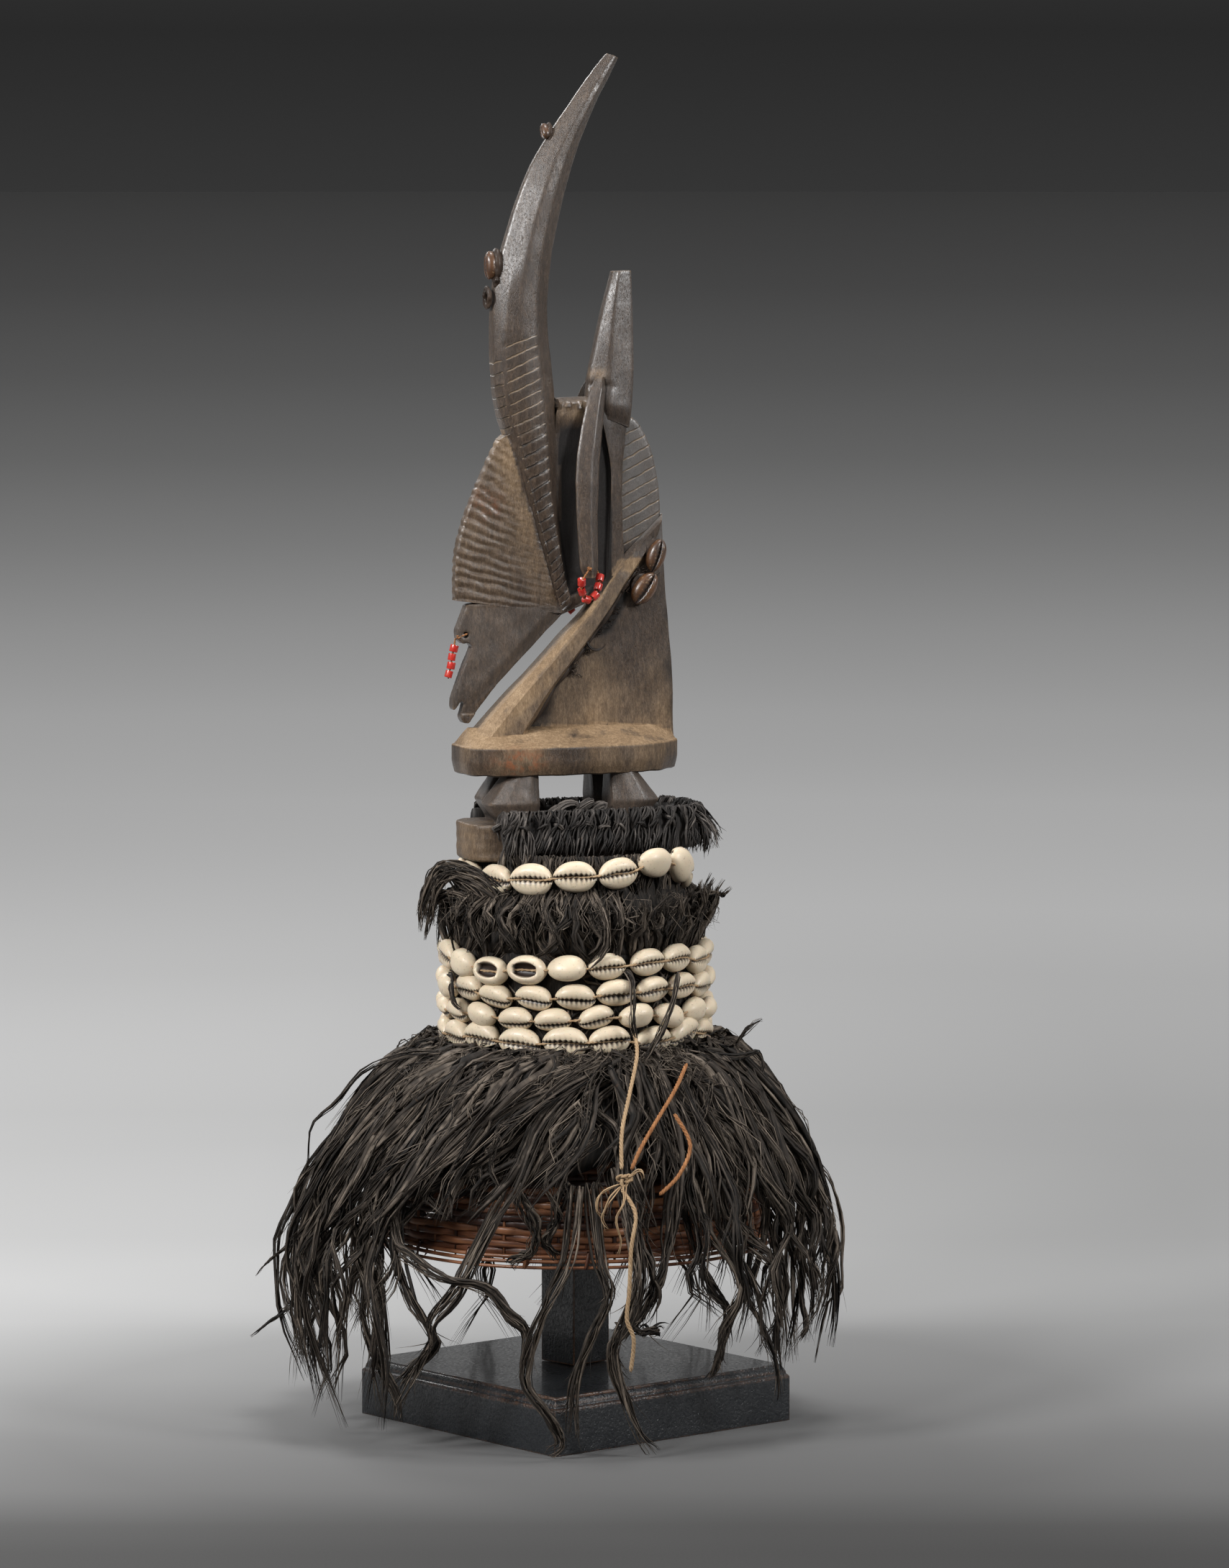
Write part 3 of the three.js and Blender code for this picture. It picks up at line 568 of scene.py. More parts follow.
def strands(lines, width, thick, turn=0.0, twist=0.0, section=3, taper=0.35, tones=None, up=None,
            seed=1, crimp=0.0):
    """Closed ribbons along lines (n, steps, 3). width and thick are full sizes, each a number or
    (n, steps). turn and twist, in radians, are each ribbon's first roll and its roll along the
    way; crimp, in mm, is how far it strays at each step."""
    lines = np.asarray(lines, float)
    n, count = lines.shape[:2]
    rng = np.random.default_rng(seed)
    side, face = side_axes(lines, up)
    if crimp:
        kink = rng.normal(size=(n, count, 2)) * crimp
        kink[:, 1:-1] = (kink[:, :-2] + 2 * kink[:, 1:-1] + kink[:, 2:]) / 4
        lines = lines + side * kink[..., :1] + face * kink[..., 1:] * 0.6
    share = steps(count)[None, :]
    turn, twist = (np.broadcast_to(np.asarray(value, float).reshape(-1, 1), (n, 1)) for value in (turn, twist))
    roll = turn + twist * share
    c, s = np.cos(roll)[..., None], np.sin(roll)[..., None]
    side, face = side * c + face * s, face * c - side * s
    ends = np.minimum(1, np.minimum(share / 0.06 + 0.5, (1 - share) / taper + 0.08))
    half_w, half_t = ((np.broadcast_to(size, (n, count)) / 2 * ends)[..., None] for size in (width, thick))
    if section == 4:
        ring = [(-1, 0), (0.1, 1), (1, 0), (-0.1, -0.8)]
    elif section == 3:
        ring = [(-0.87, -0.5), (0, 1), (0.87, -0.5)]
    else:
        turns = tau * np.arange(section) / section
        ring = list(zip(np.cos(turns), np.sin(turns)))
    points = np.stack([lines + side * half_w * a + face * half_t * b for a, b in ring], 2).reshape(-1, 3)
    m = len(ring)
    first = np.arange(n)[:, None] * count * m
    quads = (grid_faces(count, m)[None] + first[..., None]).reshape(-1, 4)
    last = first + (count - 1) * m
    if m == 4:
        quads, tris = np.concatenate([quads, first + (3, 2, 1, 0), last + (0, 1, 2, 3)]), NO_TRIS
    else:
        fan = np.arange(1, m - 1)
        tris = np.concatenate([np.stack(np.broadcast_arrays(end, end + fan + a, end + fan + 1 - a), -1)
                               for end, a in ((first, 1), (last, 0))]).reshape(-1, 3)
    shape = outward_faces(points, quads, tris)
    length = np.cumsum(np.linalg.norm(np.diff(lines, axis=1, prepend=lines[:, :1]), axis=-1), 1)
    across = np.abs(steps(m + 1, -1)[:m])
    offset = rng.uniform(0, 400, (n, 1, 1))
    uv = columns(across * np.broadcast_to(width, (n, count))[..., None] + offset,
                 length[..., None] + offset * 3).reshape(-1, 2)
    tone = rng.uniform(0, 1, n) if tones is None else tones
    return shape, uv, np.repeat(tone, count * m)


def fibre_piece(name, sets, finish, replaces=()):
    """One piece from several results of strands()."""
    shapes, uvs, tones = zip(*sets)
    piece(name, gather(shapes), finish, replaces, uv=np.concatenate(uvs),
          values={"tone": np.concatenate(tones)})
    return bpy.data.objects[name]


# Twines

TWINE_WIDTH = 2.2


def twisted(path, width, lay_length=6.5, plies=3, steps_per_mm=0.9, seed=1, ply_share=0.56):
    """Plies laid round a path of points, as one closed shape each, with uv along them."""
    walk = walked(path)
    length = walk[-1]
    share = steps(max(8, int(length * steps_per_mm)))
    line = columns(*(np.interp(share, walk / length, path[:, k]) for k in range(3)))
    along = unit(np.gradient(line, axis=0))
    side = unit(np.cross(along, vec(0.21, 0.33, 0.92)))
    up = np.cross(side, along)
    plied = []
    for k in range(plies):
        roll = tau * (share * length / lay_length + k / plies)
        reach = width * (0.5 - ply_share / 2)
        plied.append(line + (side * np.cos(roll)[:, None] + up * np.sin(roll)[:, None]) * reach)
    return strands(plied, width * ply_share, width * ply_share, section=6, taper=0.02, seed=seed)


# Each twine's route as [bearing, radius, z], as in the part's source
TWINES = {
    "light_twine": ((-86, 71, 199), (-89, 84, 190.5), (-95, 101.5, 173.5), (-98.5, 114.5, 158),
                    (-99.4, 123.6, 141.6)),
    "light_twine_end": ((-99.6, 125.6, 132.6), (-97.4, 134.2, 122), (-98.6, 138, 106), (-99, 138.4, 86),
                        (-99.4, 137.4, 72), (-98, 137, 62), (-98.4, 134.4, 46)),
    "tan_twine": ((-70.7, 85.3, 184.6), (-80.6, 98, 174.4), (-89, 109.5, 162), (-94.5, 118.5, 150.5),
                  (-97.2, 123.4, 141.4)),
    "tan_twine_loop": ((-84, 109.5, 165), (-82, 118, 151), (-86, 123.4, 138), (-91, 125, 129)),
}


def hang_twines():
    for k, (name, route) in enumerate(TWINES.items()):
        path = spline(route_points(route), steps(60))
        made = fibre_piece(name + "_plied", [twisted(path, TWINE_WIDTH, seed=40 + k)],
                           LIGHT_TWINE if k < 2 else TAN_TWINE, [name])
        path[0] * MM
        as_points(path * MM)


hang_twines()


# Floor, light and air round the object

# The floor's tone by distance from the middle, on a scale of logarithms, and by nearness to the view: painted
# light and shade, brightest some way behind the object and darker near it and toward the horizon.
FLOOR_TONES = ((0.0, 0.17), (0.16, 0.19), (0.24, 0.3), (0.33, 0.38), (0.435, 0.57), (0.482, 0.72),
               (0.528, 0.85), (0.573, 0.84), (0.62, 0.7), (0.67, 0.49), (0.725, 0.31), (0.788, 0.19),
               (0.868, 0.1), (0.919, 0.07), (1.0, 0.034))
NEAR_TONES = ((0.0, 0.06), (0.08, 0.085), (0.12, 0.13), (0.175, 0.3), (0.26, 0.45), (0.32, 0.62),
              (0.37, 0.75), (0.48, 0.9), (0.57, 0.8), (0.67, 0.7), (0.89, 0.62), (1.0, 0.575))
SKY_TONES = ((0.0, 0.0385), (0.02, 0.0265), (0.03, 0.0215), (0.09, 0.2), (0.32, 0.4), (0.82, 0.5))
AWAY_FROM_VIEW = (0.342, 0.94, 0)
TO_THE_RIGHT = (0.94, -0.342, 0)
# Name, then how far right, toward the camera and up from the middle, size and power
LAMPS = (("left", -1.25, 1.05, 0.95, 0.42, 30), ("right", 1.45, 1.0, 0.7, 0.4, 21),
         ("crown", 0.25, 0.15, 1.9, 0.5, 20), ("rim", -0.9, -1.3, 1.2, 0.6, 12),
         ("gleam", -0.7, 1.35, 0.75, 0.2, 6))


def lay_floor():
    bpy.ops.object.select_all(action="DESELECT")
    bpy.ops.mesh.primitive_circle_add(vertices=96, radius=40, fill_type="NGON")
    floor = bpy.context.object
    floor.name = "floor"
    f = Finish("pale_floor", Specular_IOR_Level=0.2, Roughness=0.8)
    away = f.node("VectorMath", {0: f.place}, "Value", operation="LENGTH")
    tone = f.ramp(f.between(f.maths("LOGARITHM", away + 0.2, 10.0), -0.7, 1.6), *FLOOR_TONES)
    nearer = f.ramp(f.between(f.along(f.place, AWAY_FROM_VIEW), -0.45, 1.05), *NEAR_TONES)
    tone = f.mix(1.0, tone, nearer * 2.0, "MULTIPLY")
    # The floor is painted darker to the right of the object: painted shade.
    dimmer = f.between(f.along(f.place, TO_THE_RIGHT), -0.2, 0.35, 0.0, 0.38)
    tone = f.mix(dimmer * f.between(away, 0.5, 2.2, 1.0, 0.1), tone, (0, 0, 0))
    f.set(Base_Color=f.mix(f.noise(f.place, 900, 2, 0.6) * 0.12, tone, (0.2, 0.19, 0.18)))
    floor.data.materials.append(f.material)


def light_studio():
    world = bpy.data.worlds.new("studio")
    bpy.context.scene.world = world
    world.use_nodes = True
    g = Graph(world.node_tree)
    way = g.node("TexCoord", {}, "Generated")
    wall = g.between(g.along(way, AWAY_FROM_VIEW), -0.3, 0.8, 0.5, 1.0)
    sky = g.ramp(g.node("SeparateXYZ", {0: way}, 2) + 0.02, *SKY_TONES)
    background = world.node_tree.nodes["Background"]
    g.feed(background.inputs["Color"], g.mix(1.0, sky, wall, "MULTIPLY"))
    background.inputs["Strength"].default_value = 1.0

    right, toward, up = Vector(TO_THE_RIGHT), -Vector(AWAY_FROM_VIEW), Vector((0, 0, 1))
    middle = Vector((0, 0, 0.33))
    for name, across, near, height, size, power in LAMPS:
        lamp = bpy.data.lights.new(name, "AREA")
        lamp.energy, lamp.size = power, size
        lit = link_mesh(name, lamp)
        lit.location = middle + right * across + toward * near + up * height
        lit.rotation_euler = (middle - lit.location).to_track_quat("-Z", "Y").to_euler()
    bpy.context.scene.view_settings.view_transform = "Standard"


lay_floor()
light_studio()


# The carved figure: bars of wood skinned between two lines in the middle plane, with the relief
# of the knife in the surface itself

def side_counts(corners, count):
    """How many of count points go on each side of a closed outline, by its length."""
    length = np.linalg.norm(np.roll(corners, -1, 0) - corners, axis=1)
    share = np.maximum(np.round(length / length.sum() * count).astype(int), 1)
    share[np.argmax(share)] += count - share.sum()
    return share


def dense(corners, count, rounding, share=None):
    """A closed outline of count points through the corners (m, 2), corners softened by passes."""
    corners = np.asarray(corners, float)
    share = side_counts(corners, count) if share is None else share
    line = np.concatenate([a + (b - a) * (np.arange(n) / n)[:, None]
                           for a, b, n in zip(corners, np.roll(corners, -1, 0), share)])
    for _ in range(rounding):
        line = (np.roll(line, 1, 0) + 2 * line + np.roll(line, -1, 0)) / 4
    return line


def grid_normals(rows):
    along = np.gradient(rows, axis=0)
    around = (np.roll(rows, -1, 1) - np.roll(rows, 1, 1)) / 2
    return unit(np.cross(around, along))


def uneven(rows, lift):
    """The skin of rows, moved outward by lift."""
    return skin(rows + grid_normals(rows) * lift[..., None])


def both_sides(*half):
    """A section's corners on one side of the middle plane, and mirrored on the other."""
    return [*half, *((x, -y) for x, y in half[::-1])]


KNIFE_LINES = []            # (points, numbers, depths) of each part that carries cut lines


def bar(front, back, shares, section, half, count=44, rounding=2, relief=None, seed=1):
    """A bar between two lines: section(t) gives [along, out] corners, as in the part's source."""
    shares = np.asarray(shares, float)
    f, b = spline(front, shares), spline(back, shares)
    rows, mid = [], len(shares) // 2
    share = side_counts(np.array(section(shares[mid]), float)
                        * (np.hypot(*(b - f)[mid]) / 2, half(shares[mid])), count)
    for t, low, high in zip(shares, f, b):
        wide = np.hypot(*(high - low)) / 2
        line = dense(np.array(section(t), float) * (wide, half(t)), count, rounding, share)
        across = (line[:, 0] / wide + 1) / 2
        rows.append(columns(low[0] + (high[0] - low[0]) * across, line[:, 1],
                            low[1] + (high[1] - low[1]) * across))
    rows = np.array(rows)
    outward = grid_normals(rows)
    if (outward * (rows - rows.mean(1, keepdims=True))).sum() < 0:
        outward = -outward
    lift = 0.1 * waves(rows, 17, seed) + 0.02 * waves(rows, 3.2, seed + 50)
    marks = None
    if relief:
        along = ((rows[..., [0, 2]] - ((f + b) / 2)[:, None]) * unit(b - f)[:, None, :]).sum(-1)
        along = along / np.abs(along).max(1, keepdims=True)
        carved, *marks = relief(shares[:, None] + 0 * along, along, rows)
        lift = lift + carved
    lift[0] = lift[-1] = 0
    rows = rows + outward * lift[..., None]
    if marks:
        KNIFE_LINES.append((rows.reshape(-1, 3), *(value.ravel() for value in marks)))
    return skin(rows)


def groove(phase, width):
    """1 in the middle of each whole phase, 0 outside the given share of it."""
    off = np.abs(phase - np.round(phase))
    return 1 - smooth_step(off, width * 0.35, width)


HORN_FRONT = ((-10, 397), (-19.2, 428), (-27.8, 455), (-35, 480), (-41.5, 502), (-43.2, 530),
              (-42.4, 557), (-36.4, 580), (-28.8, 602), (-19.8, 621), (-4.5, 643), (8.5, 660.5),
              (16.5, 669.5))
HORN_BACK = ((-2, 405), (-7, 428), (-9.8, 450), (-10.7, 478), (-12, 508), (-15, 538), (-14.4, 558),
             (-11.8, 578), (-6.4, 601), (-0.2, 621), (8, 641), (16, 656), (22, 667.5))
RIBBED_SHARE = 0.415
# Along the horn, in twelfths: the number of the cut line there, and how far the lines slant
RIB_NUMBERS = (26.5, 19.6, 15, 10.2, 5.2, -0.4, -6)
RIB_SLANTS = (0, 0.028, 0.05, 0.04, 0.0226, 0.0055, 0)


def horn_relief(t, along, rows):
    """Cut lines on the flank, a ladder on the front edge, two long lines and a ring near the tip."""
    twelfths = np.arange(7) / 12
    slanted = t - np.interp(t, twelfths, RIB_SLANTS) * (along - 0.35) / 2
    number = np.interp(slanted, twelfths, RIB_NUMBERS)
    ribbed = 1 - smooth_step(t, RIBBED_SHARE - 0.004, RIBBED_SHARE)
    main = stretch(along, -0.74, -0.64, 0.4, 0.5) * ribbed
    ladder = smooth_step(-along, 0.74, 0.8) * smooth_step(t, 0.26, 0.28) * (1 - smooth_step(t, 0.385, 0.395))
    low = 1 - smooth_step(t, 0.24, 0.34)
    lean_back = number - np.floor(number) - 0.5
    start = smooth_step(t, 0.04, 0.08)
    line = hill((along, -0.7, 0.04)) * ribbed * start
    line = line + 0.7 * hill((along, -0.52, 0.04)) * ribbed * start * low
    ring = hill((t + 0.01 * along, 0.9, 0.0035))
    lift = -main * (0.16 + 0.3 * low) * lean_back - 0.5 * line - 0.25 * ring
    return lift, number, np.clip(main * (0.62 + 0.4 * low) + 0.9 * ladder, 0, 1)


def horn_part():
    def section(t):
        smooth = float(smooth_step(t, 0.4, 0.55))
        near = [(-1, 0.35 - 0.15 * smooth), (-0.7 + 0.2 * smooth, 0.92 - 0.2 * smooth), (-0.1, 1.07),
                (0.45, 1.0), (1, 0.4)]
        return [(-1, -near[0][1]), *near, *((x, -y) for x, y in near[:0:-1])]
    shares = np.concatenate([steps(170, 0, 0.43), steps(46, 0.433, 1)])
    return bar(HORN_FRONT, HORN_BACK, shares, section,
               lambda t: 2.4 + 7.2 * cos(pi / 2 * abs(t - 0.35) / 0.65), 56, 1, horn_relief, 11)


FAN_INNER = ((-8, 398), (-14, 416), (-23, 448), (-32, 488))
FAN_OUTER = ((-62.4, 405.4), (-62.6, 416), (-61.2, 432), (-55.8, 449.5), (-48.5, 466), (-40, 483))
FAN_RIDGES = 16.5
FAN_WALK = (0, 0.129, 0.326, 0.549, 0.769, 1)


def fan_part():
    def relief(t, along, rows):
        bent = np.interp(t, steps(6), FAN_WALK) + (0.02 + 0.16 * t) * (along + 1) / 2 + 0.003 * waves(rows, 13, 3)
        rubbed_flat = hill((along, 0.5, 0.45), (t, 0.4, 0.25))
        depth = (0.2 + 0.5 * smooth_step(-along, -0.7, 0.9)) * (1 - 0.7 * rubbed_flat)
        depth = depth * (1 - 0.8 * smooth_step(along, 0.35, 0.8)) * (0.85 + 0.3 * waves(rows, 9, 4))
        depth = depth * (1 - 0.45 * smooth_step(-along, 0.9, 0.98))
        ridge = np.cos(tau * (bent * FAN_RIDGES + 0.1 * waves(rows, 11, 7)))
        return (0.55 * depth * (ridge - 0.25 * ridge ** 2 + 0.2) + 0.07 * waves(rows, 2.1, 6),)
    section = [(-1, -0.42), *both_sides((-1, 0.42), (-0.97, 0.5), (0.3, 0.85), (1, 1))[:-1]]
    return bar(FAN_OUTER, FAN_INNER, steps(190), lambda t: section, lambda t: 6.4, 54, 1, relief, 21)


def mane_part():
    def relief(t, along, rows):
        number = (rows[..., 2] - 0.5 * rows[..., 0]) / 5.9 + 0.03 * waves(rows, 12, 8)
        return 0.05 * waves(rows, 2.2, 9), number, 0.72 + 0.14 * waves(rows, 9, 10)
    section = [(-1, -1), *both_sides((-1, 1), (0.9, 0.9), (1, 0.6))[:-1]]
    return bar(((16, 413), (19, 440), (20, 462), (20, 482)),
               ((43.5, 437), (44, 450), (42, 466), (37.6, 481), (31.5, 491.4), (25, 494)),
               steps(56), lambda t: section, lambda t: 3.0, 44, 1, relief, 31)


NECK_FRONT = ((-56, 337), (-37, 357), (-21, 372.6), (-7.5, 386.7), (6, 400.5), (13, 413), (25, 427),
              (44.5, 445.5))
NECK_BACK = ((-30, 337), (-16, 359), (-6, 372), (5.5, 386), (16, 400), (24, 412), (31, 421), (41, 434))


def neck_part():
    section = [(-1, -0.55), *both_sides((-1, 0.55), (-0.45, 1), (0.75, 1), (1, 0.8))[:-1]]
    return bar(NECK_FRONT, NECK_BACK, steps(70), lambda t: section,
               lambda t: 11 - 3.2 * t - 12 * max(0, t - 0.75), 44, 0, None, 41)


def panel_part():
    """The thin board behind the neck, from the body's top up to the rear corner."""
    section = [(-1, -1), *both_sides((-1, 1), (0.7, 0.82), (0.99, 0.7), (1, 0.55))[:-1]]
    return bar(((-42, 338), (-22, 362), (2, 390), (20, 412), (34, 430), (41, 440)),
               ((50.8, 334), (50.3, 351), (49.9, 369), (47.6, 394), (45.7, 414), (44.4, 443)),
               steps(60), lambda t: section, lambda t: 4.5 - 0.7 * t, 72, 1, None, 51)


def wall_part():
    """The wall behind the horn, with its gouged top edge."""
    def relief(t, along, rows):
        top = smooth_step(t, 0.86, 0.93)
        gouge = groove(rows[..., 0] / 3.4 + 0.4 * waves(rows, 8, 2), 0.4) * (1 - smooth_step(t, 0.95, 0.98))
        return (-0.7 * top * gouge + 0.45 * top * waves(rows, 3.6, 3),)

    def half(t):
        return 4.6 + 1.6 * float(smooth_step(t, 0.8, 0.93)) - 5 * float(smooth_step(t, 0.94, 1.0)) ** 2
    return bar(((-12, 396), (-13, 430), (-13, 470), (-11, 503)), ((22, 410), (20, 440), (19, 475), (9, 503.5)),
               steps(60), lambda t: [(-1, -1), (-1, 1), (1, 1), (1, -1)], half, 40, 1, relief, 61)


def stem_part():
    return bar(((14, 408), (15.4, 440), (15.6, 470), (9, 500)), ((25, 416), (23, 447), (23.5, 472), (27, 502)),
               steps(80), lambda t: [(-1, -1), (-1, 1), (1, 0.7), (1, -0.7)], lambda t: 7 + t, 36, 1, None, 71)


def spike_part():
    def relief(t, along, rows):
        return (-0.9 * hill((t, 0.27, 0.035), (along, -0.5, 0.4)) * (1 + 0.8 * waves(rows, 2.2, 7)),)
    return bar(((4.5, 496), (6.4, 513), (12.2, 540), (18.7, 564)),
               ((26.5, 488), (28.5, 513), (28.6, 540), (28.1, 564.3)), steps(70),
               lambda t: [(-1, -0.3), (-1, 0.3), (-0.1 - 0.4 * t, 1), (1, 0.8), (1, -0.8), (-0.1 - 0.4 * t, -1)],
               lambda t: 10 - 5.4 * t - 2.4 * (1 - float(smooth_step(t, 0, 0.16))), 40, 1, relief, 81)


def between(levels, at):
    """Rows of numbers read between levels, whose first number is the height."""
    levels = np.asarray(levels, float)
    levels = levels[np.argsort(levels[:, 0])]
    return columns(*(np.interp(at, levels[:, 0], column) for column in levels.T))


# Each level of an ear is [z, x of its middle, half its width, how far out]
EAR_LEVELS = ((513, 11, 2.2, 5.2), (507, 9.4, 3.9, 7), (499, 7.2, 4.8, 8.8), (489, 5.1, 5.5, 10.4),
              (475, 2.6, 5.9, 12.2), (462, 1.4, 5.9, 13.8), (447, 0.9, 5.4, 15), (421, 1.3, 4.7, 16.8),
              (416, 1.6, 2.6, 17))
EAR_SIDES = np.array([1, 8, 6, 2, 4, 8, 4, 1])      # points on each side of its outline


def ear_part(side):
    rows = []
    for z, x, half, out in between(EAR_LEVELS, steps(66, 416, 513)):
        line = dense([(-half, -0.3), (-half + 0.5, -0.9), (half * 0.2, -2.8), (half, -0.9), (half, 0.4),
                      (half - 2, 2.5), (-half + 2, 2.5), (-half, 0.6)], 34, 1, EAR_SIDES)
        rows.append(columns(x + line[:, 0], side * (out - line[:, 1]), z))
    rows = np.array(rows)
    return uneven(rows, 0.06 * waves(rows, 14, 90 + side))


# Each leg: inner face, then the outer face at the top, knee and foot, and its side
LEGS = ((-25, -40, -51, -45, -1), (-24, -37, -46, -41, 1), (12, 26, 37, 30, -1), (11, 25, 35, 29, 1))


def leg_part(inner, top, knee, foot, side, seed):
    rows = []
    for z, outer, half in between([(296, foot, 8), (298.5, foot, 9), (307, knee, 11.5), (321.5, top, 8.5)],
                                  steps(30, 296, 321.5)):
        cut = 0.3 * (outer - inner)
        line = dense([(inner, -half + 3), (inner, half - 3), (inner + cut, half), (outer - cut, half),
                      (outer, half - 4), (outer, -half + 4), (outer - cut, -half), (inner + cut, -half)], 44, 1)
        rows.append(columns(line[:, 0], side * 12.5 + line[:, 1], z))
    rows = np.array(rows)
    return uneven(rows, 0.08 * waves(rows, 8, seed))


BLOCK_MIDDLE = (-2.5, 0)


def block_plan(turns):
    """The block's rounded oblong plan."""
    def squared(v):
        return np.sign(v) * np.abs(v) ** 0.45
    return columns(BLOCK_MIDDLE[0] + 55.5 * squared(np.cos(turns)), 23 * squared(np.sin(turns)))


def block_part():
    line = dense(block_plan(full_turn(120)), 150, 1)
    out = line - BLOCK_MIDDLE
    length = np.linalg.norm(out, axis=1, keepdims=True)
    rows = []
    for z, shrink in ((278.8, 2.5), (279.2, 1), (280, 0.2), *((z, 0) for z in steps(22, 281, 295.5)),
                      (296.5, 0.15), (297, 0.6)):
        rows.append(columns(*(line - out / length * shrink).T, z))
    rows = np.array(rows)
    return uneven(rows, 0.18 * waves(rows, 7, 95))


# The body's plan, and its levels as [z, width, how far its ends are set in]
BODY_HALF_PLAN = ((-61, 0), (-60, 11), (-52, 19), (-37, 24), (-8, 25), (24, 22.5), (42, 14), (51, 5), (52.5, 0))
BODY_LEVELS = ((320.5, 0.9, 2.5), (321.2, 0.94, 1.2), (324.5, 0.985, 0.4), (327, 1, 0), (333.9, 1, 0),
               (334.6, 0.99, 0.2), (335.0, 0.965, 0.8), (335.2, 0.93, 1.2), (338.7, 0.55, 3),
               (341, 0.35, 4.5), (343, 0.16, 6))


def body_part():
    half = spline(BODY_HALF_PLAN, steps(90))
    outline = dense(np.concatenate([half, (half * (1, -1))[-2:0:-1]]), 230, 1)
    heights = np.concatenate([[320.5, 321.2], steps(16, 321.8, 333.9), [334.25, 334.6, 334.8, 335.0, 335.2],
                              steps(22, 335.5, 343)])
    rows = np.array([columns(outline[:, 0] + np.clip(-outline[:, 0] / 30, -1, 1) * inset,
                             outline[:, 1] * width, z) for z, width, inset in between(BODY_LEVELS, heights)])
    return uneven(rows, 0.22 * waves(rows * (1, 1, 0.3), 15, 96) + 0.03 * waves(rows, 5, 97))


HEAD_OUTLINE = ((8, 412), (3, 404.5), (-7.4, 398.3), (-22.7, 382.9), (-40.9, 364.4), (-50.1, 353.1),
                (-55.8, 345.4), (-58.6, 345.8), (-60.1, 348.8), (-58.5, 354.2), (-58.4, 358.2),
                (-60.4, 355.2), (-63.2, 351.4), (-64.2, 353.6), (-63.8, 357.5), (-61.6, 365),
                (-57.9, 373.7), (-55.2, 379.6), (-53.8, 383), (-55.6, 384.6), (-58.4, 384.2),
                (-61.4, 386.6), (-61.9, 390.9), (-59.7, 396.1), (-56.6, 403.4), (-40, 405), (-12, 404))
NOSTRIL = (-57.2, 0, 388.6)


def solid_thing(name, points, faces):
    mesh = bpy.data.meshes.new(name)
    mesh.from_pydata(points.tolist(), [], faces)
    return link_mesh(name, mesh)


def head_part():
    """The head, cut from a board: drilled, remeshed so that its edges round off, then carved."""
    points = np.concatenate([columns(*np.array(HEAD_OUTLINE, float).T, side)[:, [0, 2, 1]] for side in (1, -1)])
    points[:, 1] *= np.interp(points[:, 0], (-64, -27, -8, 8), (3.0, 5.4, 6.5, 7))
    n = len(HEAD_OUTLINE)
    sides = [[k, (k + 1) % n, n + (k + 1) % n, n + k] for k in range(n)]
    block = solid_thing("head", points, [list(range(n))[::-1], list(range(n, 2 * n)), *sides])
    alone(block)
    in_edit_mode(lambda: bpy.ops.mesh.select_all(action="SELECT"),
                 lambda: bpy.ops.mesh.normals_make_consistent(inside=False))
    bpy.ops.mesh.primitive_cylinder_add(vertices=24, radius=1.5, depth=30, location=NOSTRIL,
                                        rotation=(pi / 2, 0, 0))
    drill = bpy.context.object
    apply(block, "BOOLEAN", object=drill, operation="DIFFERENCE", solver="EXACT")
    bpy.data.objects.remove(drill)
    apply(block, "REMESH", mode="VOXEL", voxel_size=0.86)
    apply(block, "SMOOTH", factor=0.5, iterations=2)
    mesh = block.data
    points, outward = vertex_table(mesh), vertex_table(mesh, "normal")
    x, _, z = points.T
    # A chamfer strip runs along the jaw.
    off_jaw = ((x + 22.7) * 0.713 - (z - 382.9) * 0.701)
    points[:, 1] *= 1 - 0.32 * smooth_step(-off_jaw, 7, 1) * (z < 400) * (z > 350)
    lift = 0.08 * waves(points, 12, 98) + 0.03 * waves(points, 3.5, 99)
    points = points + outward * lift[:, None]
    faces = [list(p.vertices) for p in mesh.polygons]
    bpy.data.objects.remove(block)
    return (points, np.array([f for f in faces if len(f) == 4]).reshape(-1, 4),
            np.array([f for f in faces if len(f) == 3], int).reshape(-1, 3))


def figure_parts():
    return [body_part(), panel_part(), neck_part(), head_part(), wall_part(), horn_part(), fan_part(),
            mane_part(), stem_part(), spike_part(), ear_part(-1), ear_part(1), block_part(),
            *(leg_part(*leg, 101 + k) for k, leg in enumerate(LEGS))]


def weld(parts, name):
    """Unites closed shapes into one solid with Blender's boolean, one after another."""
    whole = None
    for points, quads, tris in (outward_faces(*shape) for shape in parts):
        thing = solid_thing(name, points, quads.tolist() + tris.tolist())
        if whole:
            apply(whole, "BOOLEAN", object=thing, operation="UNION", solver="MANIFOLD")
            bpy.data.objects.remove(thing)
        whole = whole or thing
    return whole


def vertex_table(mesh, what="co"):
    values = np.empty(len(mesh.vertices) * 3)
    mesh.vertices.foreach_get(what, values)
    return values.reshape(-1, 3)


